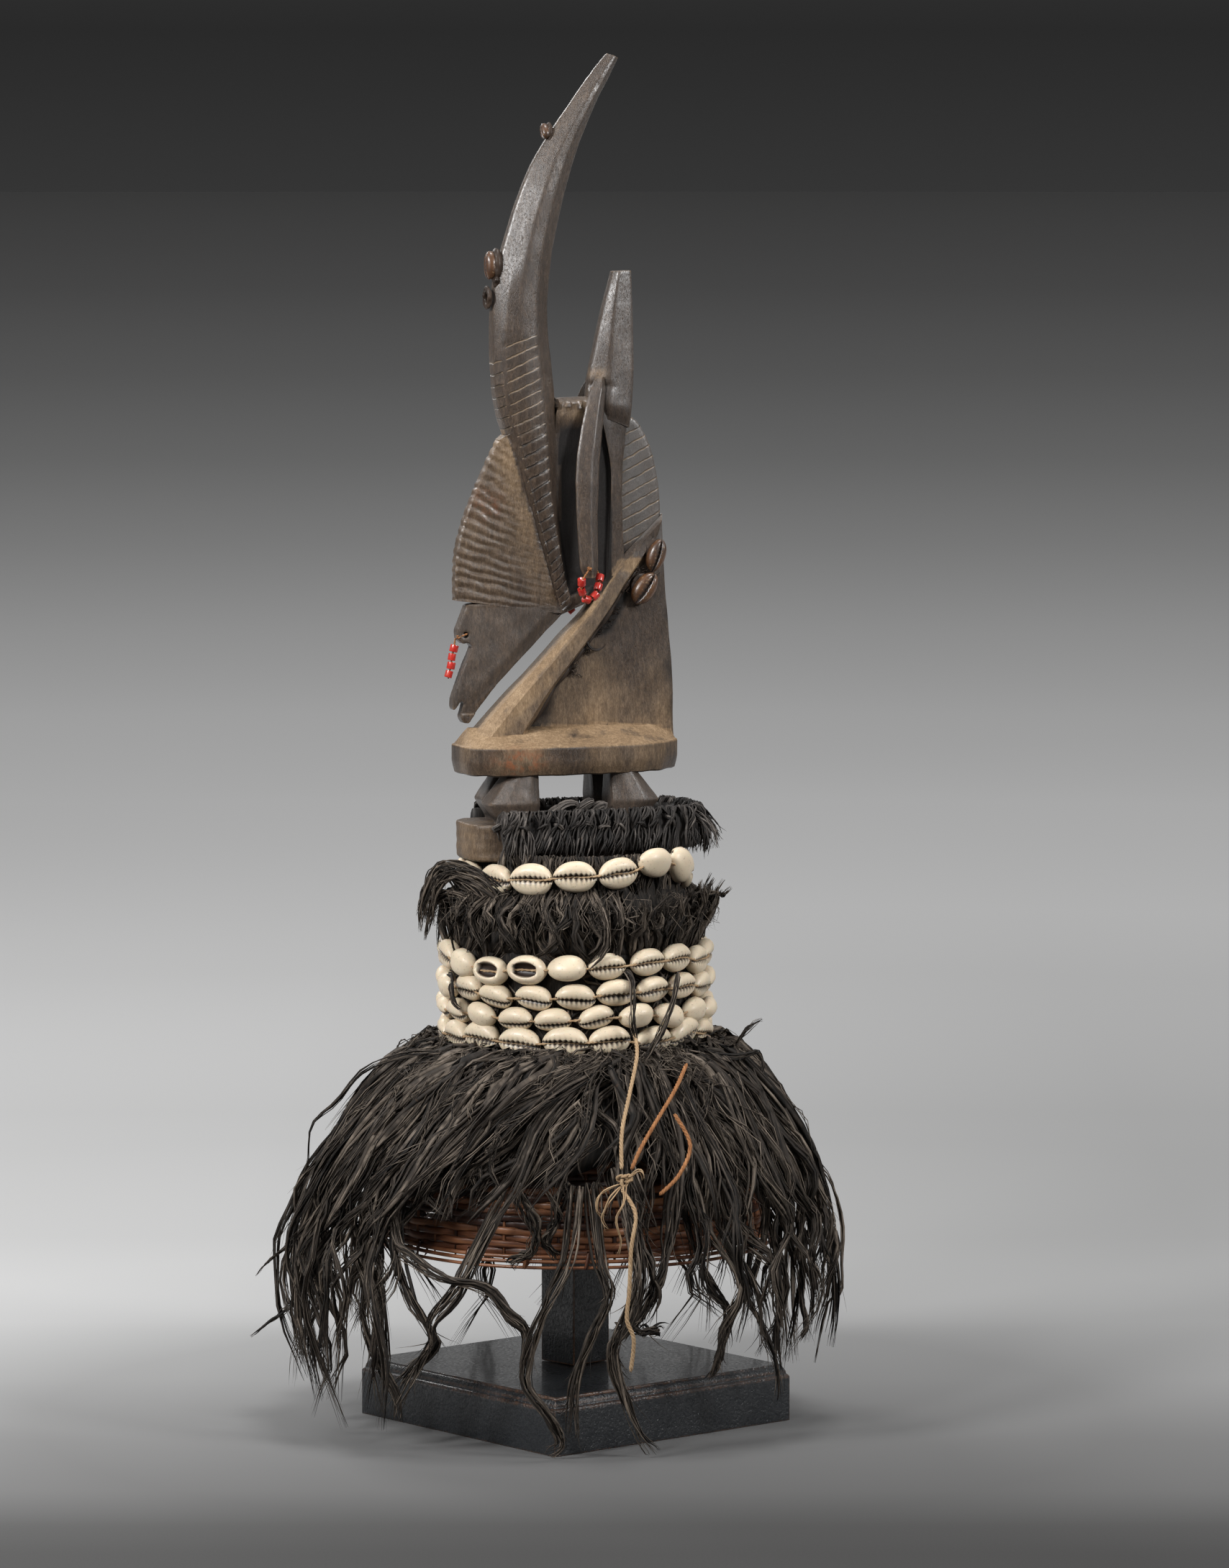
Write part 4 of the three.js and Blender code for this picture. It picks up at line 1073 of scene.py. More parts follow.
def edge_values(mesh, scale, passes=2):
    """How far each vertex stands proud (0 to 1) of its neighbours, and how far it lies in."""
    points, outward = vertex_table(mesh), vertex_table(mesh, "normal")
    pairs = np.empty(len(mesh.edges) * 2, int)
    mesh.edges.foreach_get("vertices", pairs)
    a, b = pairs.reshape(-1, 2).T
    gap = points[a] - points[b]
    dist = np.maximum(np.linalg.norm(gap, axis=1), 1e-9)
    bend, count = np.zeros(len(points)), np.zeros(len(points))
    for end, sign in ((a, 1), (b, -1)):
        np.add.at(bend, end, sign * (gap * outward[end]).sum(1) / dist)
        np.add.at(count, end, 1)
    bend = bend / np.maximum(count, 1)
    for _ in range(passes):
        total = bend.copy()
        np.add.at(total, a, bend[b])
        np.add.at(total, b, bend[a])
        bend = total / (count + 1)
    return np.clip(bend * scale, 0, 1), np.clip(-bend * scale, 0, 1)


def shade_of(mesh, reach, rays=9, seed=5):
    """The share of rays from each vertex that meet the mesh again within reach."""
    points, outward = vertex_table(mesh), vertex_table(mesh, "normal")
    tree = BVHTree.FromPolygons(points.tolist(), [list(p.vertices) for p in mesh.polygons])
    hits = np.zeros(len(points))
    start = (points + outward * 0.05).tolist()
    for way in unit(np.random.default_rng(seed).normal(size=(rays, 3))):
        ray = unit(outward + 0.95 * way)
        hits += [tree.ray_cast(p, d, reach)[0] is not None for p, d in zip(start, ray.tolist())]
    return hits / rays


def knife_values(points):
    """The number and depth of the cut lines at each vertex, taken from the parts that carry them."""
    spots, numbers, depths = (np.concatenate(column) for column in zip(*KNIFE_LINES))
    tree = KDTree(len(spots))
    for k, spot in enumerate(spots.tolist()):
        tree.insert(spot, k)
    tree.balance()
    _, found, gaps = zip(*(tree.find(point) for point in points.tolist()))
    found = np.array(found)
    return numbers[found], depths[found] * (np.array(gaps) < 0.03)


def past_line(x, z, line):
    """How far behind a line of (x, z) points each vertex lies."""
    return x - np.interp(z, *np.array(line)[:, ::-1].T)


def wood_values(points, outward, shade, sunk):
    """Where the wood is bare, cool, glossy or red, and how far it is painted darker in its hollows (painted
    shade, with some soiling), from 0 to 1.
    """
    x, y, z = points.T
    near = np.abs(y)
    cloud = waves(points, 30, 7)
    plate_top = stretch(z, 333.5, 335, 342, 352) * smooth_step(outward[:, 2], 0.1, 0.5)
    behind = past_line(x, z, NECK_FRONT) > -1.5
    low_panel = (1 - smooth_step(z + 0.35 * x + 8 * cloud, 345, 400)) * (z > 334) * behind
    beam = smooth_step(-(x * 0.7 - (z - 388) * 0.7), -12, 0) * (z > 334) * (z < 432) * behind * (near > 6.8)
    up_beam = z - 0.98 * x
    on_beam = beam * (up_beam > 380) * (up_beam < 402)
    front_edge = (near < 8) * smooth_step(up_beam, 388, 391) * (z > 336.5) * (z < 424) * behind
    plate_side = (z > 321) * (z < 335) * (0.3 + 0.25 * cloud)
    from_horn = past_line(x, z, HORN_FRONT[:5])
    fan = smooth_step(z, 398, 410) * (z < 488) * (from_horn < 0) * (near < 7)
    fan_dust = fan * (0.25 + 0.75 * smooth_step(from_horn, -17, -1))
    jaw_x = (z - 397) * 1.02
    bare = np.clip(1.7 * plate_top + 0.9 * front_edge * (x > jaw_x - 6) + 0.5 * low_panel
                   + 0.55 * on_beam + plate_side + 0.6 * fan_dust + 0.4 * (z < 300) * (x < -46), 0, 1.6)
    # The wall behind the horn is painted near-black as its painted shadow; resin smears follow the groove of the
    # neck, widened into the painted shadow along the groove.
    painted_wall_shadow = (smooth_step(-near, -7.4, -6.7) * (x > -9) * (x < 17) * smooth_step(z, 404, 412)
            * (1 - smooth_step(z, 478, 494)))
    off_groove = past_line(x, z, NECK_BACK) - 2
    resin_and_groove_shadow = (np.exp(-(off_groove / (4.5 + 2.5 * cloud)) ** 2) * (z > 342) * (z < 428) * (near < 8)
             * (0.75 + 0.5 * cloud))
    rear = smooth_step(x, 39, 49) * (z > 340) * (z < 440) * (0.5 + 0.5 * waves(points, 22, 12))
    # Spots that rays from them find enclosed, and sunk spots, are painted darker: painted shade in recesses, with
    # some soiling; less on the plate's top and on the fan.
    dirt_and_shade = (0.55 * sunk + 0.75 * shade) * (1 - 0.6 * plate_top) * (1 - 0.45 * fan)
    mane = (z > 432) * (x > 22.5) * (near < 4) * (z < 496)
    cheek = (z < 402) * (z > 340) * (near < 7.4) * (x < -9 + jaw_x)
    red = hill((x, -36, 9), (z, 328, 5)) * 1.5 + 0.45 * hill((x, -47, 8), (z, 452, 7))
    ear_scar = hill((x, 9.5, 4), (z, 515, 2.4)) * (y < 0)
    wall_lip = hill((z, 497, 5)) * (near < 6.4) * (x > -12) * (x < 8)
    return {
        "hollow": np.clip(dirt_and_shade + 1.3 * painted_wall_shadow + 1.1 * resin_and_groove_shadow + 0.7 * rear, 0, 1.5),
        "bare": bare + 0.9 * ear_scar + 0.5 * wall_lip,
        # The faint grey above z 470 is a painted highlight on the upper horn; the grey of the mane, cheek and
        # legs is the wood's own colour.
        "cool": np.clip(0.95 * mane + 0.28 * cheek + 0.1 * smooth_step(z, 470, 520)
                        + 0.25 * (z < 321) * (z > 297), 0, 1.3),
        "gloss": np.clip(0.25 + 0.75 * smooth_step(z, 410, 520) + 0.7 * (fan - fan_dust) - bare * 0.5, 0, 1),
        "red": np.clip(red * (y < 0), 0, 1),
    }


def carve_figure():
    figure = weld(figure_parts(), "figure_wood")
    mesh = figure.data
    proud, sunk = edge_values(mesh, 3.0)
    points = vertex_table(mesh)
    numbers, depths = knife_values(points)
    put_values(mesh, mark=numbers, marked=depths, edge=proud,
               **wood_values(points, vertex_table(mesh, "normal"), shade_of(mesh, 14), sunk))
    mesh.vertices.foreach_set("co", (points * MM).astype(np.float32).ravel())
    mesh.update()
    finish_piece(figure, WOOD, ["carved_figure"], 30)


carve_figure()


# Fibre: the skirt, the ruff, the knotted collar and the band behind the shells

SKIRT_TOP = 184
SKIRT_LEAN = -8             # how far the skirt's edge is pulled over in x
# The skirt's outer and inner surfaces, as (radius, z) down their fall
OUTER_FALL = ((57, 188.5), (66, 190), (75, 187.5), (84, 183), (95, 172.5), (106, 158), (118, 139),
              (127, 121), (132, 108), (136, 92), (137.5, 74), (136, 52), (132, 28), (128, 6))
INNER_FALL = ((57, 185.5), (62, 182), (69, 176.5), (78, 169), (88, 159), (97, 145), (102, 131),
              (105, 118), (108, 104), (112, 90), (114, 72), (114, 52), (112, 30), (110, 10))
# Bearing of a lock's root, and how far it is combed round on its way down, both in degrees
COMBED = ((-180, -8), (-152, -16), (-128, -27), (-108, -33), (-99, -29), (-93, -7), (-84, 3),
          (-66, 9), (-44, 9), (-15, 0), (60, 6), (120, -6), (180, -8))


def combed(bearing):
    return np.interp((bearing + 180) % 360 - 180, *np.array(COMBED).T)


def fall(bearing, share, layer, sway=0):
    """Points on the skirt's surfaces: share runs down the fall, layer from inner 0 to outer 1."""
    bearing = np.reshape(bearing, (-1, 1)) if np.ndim(share) == 2 else bearing
    outer, inner = spline(OUTER_FALL, share), spline(INNER_FALL, share)
    r, z = np.moveaxis(inner + (outer - inner) * layer[..., None], -1, 0)
    lean = SKIRT_LEAN * np.clip((SKIRT_TOP - z) / 92, 0, 1.1)
    return (on_bearing(bearing + combed(bearing) * smooth_step(share, 0.0, 0.62) + sway, r, z)
            + lean[..., None] * vec(1, 0, 0))


def wander(rng, shape, count, knots):
    """Wandering values (*shape, count) of about -1 to 1 that pass through random knots."""
    moved = np.moveaxis(rng.uniform(-1, 1, (*shape, knots, 1)), -2, 0)
    return np.moveaxis(spline(moved.reshape(knots, -1), steps(count)), 0, -1).reshape(*shape, count)


def fan_out(centres, count, spread, rng, stray=0.5, knots=5, up=None):
    """Lines of count strands round each centre line (n, steps, 3). spread is (steps,), in mm."""
    n, length = centres.shape[:2]
    side, face = side_axes(centres, up)
    angle = rng.uniform(0, tau, (n, count, 1)) + rng.uniform(-3, 3, (n, 1, 1)) * steps(length)
    reach = np.sqrt(rng.uniform(0.02, 1, (n, count, 1))) * spread
    a = reach * np.cos(angle) + stray * wander(rng, (n, count), length, knots)
    b = reach * 0.5 * np.sin(angle) + 0.6 * stray * wander(rng, (n, count), length, knots)
    lines = centres[:, None] + side[:, None] * a[..., None] + face[:, None] * b[..., None]
    return lines.reshape(n * count, length, 3)


def off_floor(lines, height=1.2):
    lines[..., 2] = np.maximum(lines[..., 2], height)
    return lines


def drawn(rng, n, least, more, power):
    """Widths for n strands, most of them near the least."""
    return least + rng.uniform(0, 1, (n, 1)) ** power * more


def tones_by_lock(rng, locks, count, share):
    """A tone for each of count strands of each lock, of which the lock's own tone is a share."""
    return np.repeat(rng.uniform(0, 1, locks), count) * share + rng.uniform(0, 1 - share, locks * count)


def spaced(rng, low, high, count):
    return low + (high - low) * (np.arange(count) + rng.uniform(-0.45, 0.45, count)) / count


def closed_ring(loops, uv_step, tone):
    """A ring of matted fibre from loops (n, around, 3) that close on themselves both ways."""
    n, m = loops.shape[:2]
    points = loops.reshape(-1, 3)
    uv = np.stack([np.tile(np.arange(m) * uv_step, n), np.repeat(np.arange(n) * 6.0, m)], -1)
    return outward_faces(points, grid_faces(n, m, True), NO_TRIS), uv, np.full(len(points), tone)


# The matted fibre under the locks, as (share of the fall, layer)
COAT_PROFILE = ((0.0, 0.9), (0.08, 0.7), (0.2, 0.42), (0.32, 0.22), (0.38, 0.1), (0.41, 0.06), (0.4, 0.0),
                (0.35, 0.0), (0.2, 0.0), (0.06, 0.02))


def undercoat():
    """A closed bell of matted fibre with a ragged surface and edge."""
    turns = full_turn(240)
    around = on_bearing(np.degrees(turns), 30, 0)
    loops = np.array([fall(np.degrees(turns), share + (0.04 if share > 0.4 else 0) * waves(around, 6, 3),
                           np.full(len(turns), layer)) for share, layer in COAT_PROFILE])
    return closed_ring(loops + loops * (1, 1, 0) / 90 * waves(loops, 6, 4)[..., None] * 1.3, 2.4, 0.0)


def skirt_layer(rng, start, top, end, layers, count, width, length, spread, sway=5.5):
    """Clumps of count crimped ribbons combed over the bell, from share top to share end."""
    clumps = len(start)
    t = steps(length)
    share = top[:, None] + (end - top)[:, None] * t
    depth = rng.uniform(*layers, clumps)[:, None] + 0.1 * wander(rng, (clumps,), length, 5)
    centre = fall(start, share, depth, sway * wander(rng, (clumps,), length, 5))
    full = spread * (0.35 + np.sin(pi * np.clip(t * 1.05, 0, 1)) ** 0.7)
    lines = fan_out(centre, count, full, rng, 1.4, 6)
    n = len(lines)
    wide = drawn(rng, n, 0.5, width, 2.2)
    return strands(lines, wide, 0.25 + 0.1 * wide, rng.uniform(-0.8, 0.8, n), rng.uniform(-2.6, 2.6, n),
                   taper=0.3, seed=int(rng.integers(1e6)), crimp=0.55,
                   tones=tones_by_lock(rng, clumps, count, 0.5))


def under_layers(rng):
    every, front = spaced(rng, -180, 180, 150), spaced(rng, -150, -62, 104)
    return [skirt_layer(rng, every, rng.uniform(0, 0.14, 150), rng.uniform(0.36, 0.52, 150),
                        (0.25, 0.6), 5, 3.6, 11, 3.2),
            skirt_layer(rng, front, rng.uniform(0.08, 0.3, 104), rng.uniform(0.43, 0.58, 104),
                        (0.12, 0.62), 6, 3.6, 12, 2.6, 7.0)]


def cover_layers(rng):
    """The outer layer, a little shorter over the cap's edge in front, and short clumps at its top."""
    start = spaced(rng, -180, 180, 172)
    end = rng.uniform(0.5, 0.68, 172) - 0.07 * hill((start, -100, 17))
    top = rng.uniform(0.0, 0.14, 172)
    short = spaced(rng, -180, 180, 90)
    return [skirt_layer(rng, start, top, end, (0.6, 1.0), 6, 5.0, 15, 2.3),
            skirt_layer(rng, short, rng.uniform(0, 0.05, 90), rng.uniform(0.14, 0.3, 90),
                        (0.8, 1.1), 5, 3.6, 8, 2.4)]


def skirt_hairs(rng, clumps=186, count=3):
    front = np.arange(clumps) % 3 == 0
    start = np.where(front, rng.uniform(-150, -60, clumps), rng.uniform(-180, 180, clumps))
    top = rng.uniform(0.0, 0.36, clumps)
    share = top[:, None] + rng.uniform(0.1, 0.24, clumps)[:, None] * steps(9)
    sway = 6 * wander(rng, (clumps,), 9, 5)
    layer = np.where(front & (top > 0.25), rng.uniform(0.1, 0.6, clumps), rng.uniform(0.8, 1.12, clumps))
    centre = fall(start, share, layer[:, None] + 0.14 * wander(rng, (clumps,), 9, 4), sway)
    lines = fan_out(centre, count, np.full(9, 2.2), rng, 1.8, 7)
    return strands(lines, 0.6, 0.45, taper=0.5, seed=7, twist=1.0, tones=rng.uniform(0.2, 1, len(lines)))


# The locks that hang past the cap's edge, thick at either side and behind, few in front:
# from and to a bearing, how many, and how far down the shortest and the longest end
LONG_LOCKS = ((-207, -141, 49, 0.78, 0.99), (-74, -14, 32, 0.74, 0.9), (-14, 154, 45, 0.74, 0.98))


def long_locks(rng, length=18):
    parts = [(spaced(rng, low, high, number), rng.uniform(shortest, longest, number),
              rng.uniform(0.35, 1.0, number)) for low, high, number, shortest, longest in LONG_LOCKS]
    rim, end, layer = (np.concatenate(column) for column in zip(*parts))
    t = steps(length)
    sway = 5.0 * wander(rng, (len(rim),), length, 8) * (0.35 + t)
    depth = layer[:, None] + 0.24 * wander(rng, (len(rim),), length, 7)
    return fall(rim - combed(rim), 0.28 + (end - 0.28)[:, None] * t, depth, sway)


# Locks that stand out in front, as [bearing, radius, z]; each joins the bell where it starts.
SINGLE_LOCKS = (
    ((-158, 118, 128), (-152, 128, 103), (-146, 130, 95), (-137, 132, 88), (-129, 129, 83), (-124, 126, 72),
     (-120, 122, 63), (-121, 120, 42)),
    ((-126, 112, 128), (-134, 123, 93), (-136, 129, 81), (-141, 130, 67), (-142, 128, 57), (-146, 129, 42),
     (-151, 132, 23)),
    ((-157, 114, 130), (-153, 126, 101), (-147, 130, 76), (-143, 127, 62), (-143, 124, 53), (-148, 129, 41),
     (-151, 131, 34)),
    ((-109, 110, 132), (-111, 118, 101), (-115, 124, 82), (-119, 124, 63), (-121, 122, 40), (-116, 119, 22),
     (-113, 112, 8), (-117, 109, 2)),
    ((-106, 108, 134), (-104, 117, 98), (-102, 121, 81), (-106, 120, 60), (-110, 118, 35), (-111, 114, 11)),
    ((-99, 108, 140), (-96, 116, 115), (-95, 122, 90), (-97, 121, 68), (-101, 120, 55), (-99, 118, 33),
     (-95, 116, 15), (-90, 113, 2)),
    ((-97, 110, 138), (-96, 117, 112), (-96, 123, 88), (-98, 122, 70), (-101, 121, 54), (-98, 118, 38)),
    ((-80, 108, 142), (-85, 111, 119), (-88, 115, 96), (-92, 116, 80), (-96, 118, 67), (-100, 118, 59)),
    ((-99, 119, 69), (-95, 120, 63), (-89, 117, 63)),
    ((-84, 110, 138), (-78, 106, 108), (-75, 110, 85), (-70, 114, 69), (-69, 111, 49)),
    ((-72, 112, 130), (-67, 108, 100), (-65, 113, 81), (-61, 116, 63), (-56, 119, 44), (-53, 119, 21)),
    ((-56, 116, 120), (-58, 112, 88), (-66, 110, 65), (-68, 105, 45), (-69, 100, 32)),
    ((-161, 122, 118), (-158, 128, 93), (-160, 132, 77), (-160, 131, 60), (-159, 128, 47), (-156, 119, 26),
     (-157, 118, 13)),
    ((-52, 117, 118), (-48, 112, 87), (-46, 112, 69), (-45, 109, 51), (-44, 108, 31)),
    ((-38, 118, 118), (-36, 114, 93), (-35, 115, 70), (-34, 116, 52), (-33, 113, 43)),
    ((-112, 106, 134), (-114, 108, 118), (-117, 106, 104), (-114, 104, 96)),
    ((-124, 110, 128), (-120, 108, 110), (-122, 110, 99), (-126, 112, 93)),
    ((-91, 108, 136), (-93, 112, 112), (-92, 116, 96), (-90, 117, 80), (-93, 117, 66)),
)
STRAY_LOCKS = (
    ((165, 140, 60), (160, 144, 52), (160, 153, 46), (160, 160, 40)),
    ((168, 134, 92), (164, 141, 87), (162, 150, 79), (161, 157, 71)),
    ((-165, 80, 187), (-174, 92, 185), (173, 105, 176), (165, 117, 158), (162, 129, 146), (162, 131, 129),
     (162, 135, 115)),
    ((-50, 74, 184), (-35, 78, 185), (-34, 84, 192), (-32, 88, 197), (-30, 93, 200)),
    ((-52, 76, 186), (-41, 85, 183), (-36, 92, 185), (-35, 95, 178), (-35, 91, 171)),
    ((-22, 118, 128), (-20, 126, 117), (-20, 131, 97), (-20, 131, 79), (-20, 131, 63), (-20, 124, 56),
     (-20, 118, 27)),
    ((-50, 60, 258), (-29, 66, 262), (-26, 72, 260), (-26, 77, 264)),
    ((-88, 66, 230), (-87, 71, 224), (-88, 74.5, 213), (-88, 75, 204), (-86, 75, 195)),
    ((-62, 68, 226), (-69, 74, 216), (-76, 75.5, 201), (-81, 76, 191), (-84, 77, 186)),
    ((-178, 66, 224), (-168, 70, 222), (-166, 71.5, 214), (-162, 70, 208)),
)


def routes(lists, count):
    return np.array([spline(route_points(route), steps(count)) for route in lists])


def pinched(t, where, share, width):
    """1, and less by a share where a lock is drawn together."""
    return 1 - share * hill((t, where, width))


def hang_skirt():
    rng = np.random.default_rng(2024)
    fibre_piece("skirt_coat", [undercoat(), *under_layers(rng), skirt_hairs(rng)], FIBRE, ["fibre_skirt"])
    fibre_piece("skirt_cover", cover_layers(rng), FIBRE)

    centres, t = long_locks(rng), steps(18)
    spread = (4.6 - 2.6 * smooth_step(t, 0.25, 0.8) + 2.2 * smooth_step(t, 0.82, 1)) * pinched(
        t, rng.uniform(0.3, 0.9, (len(centres), 1, 1)), 0.65, 0.06)
    lines = off_floor(fan_out(centres, 8, spread, rng, 1.3, 8))
    n = len(lines)
    locks = strands(lines, drawn(rng, n, 0.6, 2.6, 1.8) * (1 - 0.35 * t), 0.5, rng.uniform(-1, 1, n),
                    rng.uniform(-5, 5, n), taper=0.2, seed=12, crimp=0.6,
                    tones=tones_by_lock(rng, len(centres), 8, 0.5))
    t = steps(26)
    singles = routes(SINGLE_LOCKS, 26)
    singles = singles + 0.9 * np.stack([wander(rng, (len(singles),), 26, 9) for _ in range(3)], -1)
    spread = (3.9 - 1.5 * smooth_step(t, 0.2, 0.5) + 1.6 * smooth_step(t, 0.85, 1)) * pinched(
        t, rng.uniform(0.35, 0.85, (len(singles), 1, 1)), 0.6, 0.05)
    lines = off_floor(fan_out(singles, 13, spread, rng, 1.1, 9))
    n = len(lines)
    front = strands(lines, drawn(rng, n, 0.5, 2.4, 1.6), 0.45, rng.uniform(-1, 1, n),
                    rng.uniform(-6, 6, n), taper=0.25, seed=13, crimp=0.65)
    lines = fan_out(routes(STRAY_LOCKS, 18), 7, 1.9 - 1.0 * steps(18), rng, 0.9, 7)
    n = len(lines)
    loose = strands(lines, rng.uniform(0.5, 1.8, (n, 1)), 0.4, 0.0, rng.uniform(-5, 5, n), taper=0.3,
                    seed=14, crimp=0.4)
    # Frayed hairs along the locks
    hairs = []
    for source, number, last in ((centres, 420, 13), (singles, 260, 21)):
        base = np.stack([source[p, a:a + 5] for p, a in
                         zip(rng.integers(0, len(source), number), rng.integers(4, last, number))])
        bow = steps(5)[None, :, None] ** 1.6 * rng.normal(size=(number, 1, 3)) * 4.5
        hairs.append(strands(off_floor(base + bow + rng.normal(size=(number, 1, 3)) * 0.8), 0.55, 0.4,
                             taper=0.6, seed=15, crimp=0.4))
    fibre_piece("skirt_locks", [locks, front, loose, *hairs], FIBRE)


# The bunch that spills over the ruff's left side
RUFF_BUNCH = (
    ((-152, 57, 266), (-166, 63, 276), (180, 69, 276), (172, 73, 266), (168, 76, 252), (166, 76, 242)),
    ((-158, 57, 262), (-170, 63, 270), (178, 69, 270), (172, 72, 260), (170, 74, 250)),
    ((-146, 57, 262), (-158, 62, 272), (-172, 67, 274), (178, 70, 266), (174, 71, 256), (172, 71, 246)),
    ((-165, 57, 258), (180, 64, 262), (172, 69, 258), (168, 72, 248), (167, 74, 238)),
    ((170, 56, 262), (165, 63, 270), (163, 69, 266), (163, 73, 256), (164, 74, 246)),
    ((-172, 57, 266), (176, 64, 273), (166, 70, 270), (164, 74, 260), (165, 77, 250)),
)
# Rows of tufts: how many, strands in each, least and greatest reach, radius and height of the root,
# width of a strand, and whether they curl and are brushed up at the right
RUFF_ROWS = ((96, 6, 50.5, 53, 49.5, 283.5, 2.6, False), (100, 7, 57, 63, 52.5, 267, 3.4, True),
             (120, 7, 62, 69, 53.5, 266, 3.0, True))
RUFF_CORE = ((50, 236), (47, 283.5), (49, 284), (50, 272), (52, 264), (56, 254), (59, 244), (60, 236))


def ruff_row(rng, tufts, count, low_r, high_r, top_r, top_z, width, brushed):
    t = steps(8)
    start = spaced(rng, -180, 180, tufts)
    reach = rng.uniform(low_r, high_r, tufts)[:, None]
    brushed_up = ((start > -84) & (start < -8) & brushed)[:, None]
    curl = (1.8 if brushed else 0.4) * np.sin(tau * (0.9 * t + rng.uniform(0, 1, (tufts, 1)))) * t
    r_down = top_r + (reach - top_r) * np.sin(pi * 0.5 * np.clip(t * 1.7, 0, 1)) - 2.5 * t ** 3 + curl
    z_down = top_z - rng.uniform(23, 37 if brushed else 31, tufts)[:, None] * t ** 1.1
    r_up = 60 + (reach + 3 - 60) * t + curl
    z_up = 236 + rng.uniform(20, 34, tufts)[:, None] * t
    sway = 8 * wander(rng, (tufts,), 8, 4) * t + 2 * wander(rng, (tufts,), 8, 6)
    centre = on_bearing(start[:, None] + sway, np.where(brushed_up, r_up, r_down),
                        np.where(brushed_up, z_up, z_down))
    lines = fan_out(centre, count, 2.1 - 0.7 * t, rng, 0.9 if brushed else 0.5, 6)
    n = len(lines)
    return strands(lines, drawn(rng, n, 0.5, width, 1.6), 0.45, rng.uniform(-1, 1, n), rng.uniform(-4, 4, n),
                   taper=0.35, seed=int(rng.integers(1e6)), crimp=0.45,
                   tones=np.repeat(rng.uniform(0, 1, tufts), count) * 0.6 + rng.uniform(0, 0.4, n))


def tuft_ruff():
    """The ruff: curled tufts that spring from under the string above, brushed up at the right."""
    rng = np.random.default_rng(77)
    sets = [ruff_row(rng, *row) for row in RUFF_ROWS]
    lines = fan_out(routes(RUFF_BUNCH, 20), 16, 4.2 - 2.6 * steps(20), rng, 1.5, 8)
    sets.append(strands(lines, rng.uniform(0.5, 2, (len(lines), 1)), 0.5, 0.0, 3.0, seed=76, crimp=0.6))
    curls, t = rng.uniform(-180, 180, 220), steps(8)
    bend = wander(rng, (220, 3), 8, 6) * 5
    centre = on_bearing(curls[:, None], 61 + 5 * t + 1.5 * np.sin(3 * t), 262 - 16 * t)
    sets.append(strands(centre + np.moveaxis(bend, 1, 2), 0.55, 0.4, taper=0.5, seed=78))
    sets.append(band_ring(RUFF_CORE, full_turn(120), 79))
    fibre_piece("ruff_tufts", sets, FIBRE, ["fibre_ruff"])


def band_ring(profile, turns, seed):
    """A closed ring of matted fibre from a profile of (radius, z)."""
    line = dense(profile, 5 * len(profile), 1)
    rows = np.array([on_bearing(np.degrees(turns), r, z) for r, z in line])
    rows = rows + unit(rows * (1, 1, 0)) * (0.7 * waves(rows * (1, 1, 0.4), 4.5, seed))[..., None]
    return closed_ring(rows, 2.6, 0.1)


def wrap_band():
    """The fibre wrapping behind the strings of shells."""
    rng = np.random.default_rng(5)
    ring = band_ring([(55.5, 187), (55.5, 240), (58.5, 240), (59.4, 214), (59.6, 187)], full_turn(150), 6)
    start = rng.uniform(-180, 180, 230)
    z = rng.uniform(205, 236, 230)[:, None] - rng.uniform(10, 30, 230)[:, None] * steps(8)
    lines = on_bearing(start[:, None] + 8 * wander(rng, (230,), 8, 4), 60.2 + 0.8 * wander(rng, (230,), 8, 4),
                       np.maximum(z, 186))
    n = len(lines)
    loose = strands(lines, rng.uniform(0.8, 2.4, (n, 1)), 0.6, 0.0, rng.uniform(-2, 2, n), seed=8)
    fibre_piece("wrapping", [ring, loose], FIBRE, ["fibre_band"])


# One hitch in side view: [out from the block, z], over the rope and down in front
HITCH = ((1.4, 290), (1.6, 297), (3.2, 302), (5.8, 304), (8.4, 302.2), (9.6, 298.6), (8.2, 295),
         (9.8, 291), (11, 286.5), (10.2, 280.8))
HITCH_SPACING = 8.1
HITCH_STRANDS = 13
COLLAR_CORE = ((0.8, 283), (0.8, 300), (3, 302), (6.5, 301), (8, 293), (7.6, 283))
FRAYED_CORNER = (((54, -16, 300), (60, -18, 297), (65, -20, 291), (67, -20, 285)),
                 ((56, -10, 302), (62, -13, 299), (66, -16, 294), (69, -18, 288)),
                 ((50, -24, 301), (56, -28, 297), (60, -31, 290), (61, -32, 283)))
# Knots of the rope between the legs: middle, size and tilt
ROPE_KNOTS = ((-12, -23.5, 304, 4.6, 0.3), (-3.5, -23, 305.4, 4.0, 1.2), (-19, -22.5, 302.5, 3.6, 2.0),
              (4, -22.5, 304, 3.4, 0.7), (-43, -24.2, 300, 3.4, 0.5), (-47, -23, 297, 3.0, 1.6))


def round_block():
    """The way round the block, and the part of it that the collar takes."""
    plan = block_plan(np.linspace(-pi, pi, 721))
    walk = walked(plan)
    kept = walk[plan[:, 0] > -47]

    def place(spots):
        """Points of the plan, and the directions out of the block there."""
        base = columns(np.interp(spots, walk, plan[:, 0]), np.interp(spots, walk, plan[:, 1]), 0.0)
        way = np.gradient(plan, axis=0)
        out = unit(columns(np.interp(spots, walk, way[:, 1]), -np.interp(spots, walk, way[:, 0]), 0.0))
        inward = (out * (base - (*BLOCK_MIDDLE, 0))).sum(-1, keepdims=True)
        return base, out * np.sign(inward)
    return kept[0], kept[-1], place


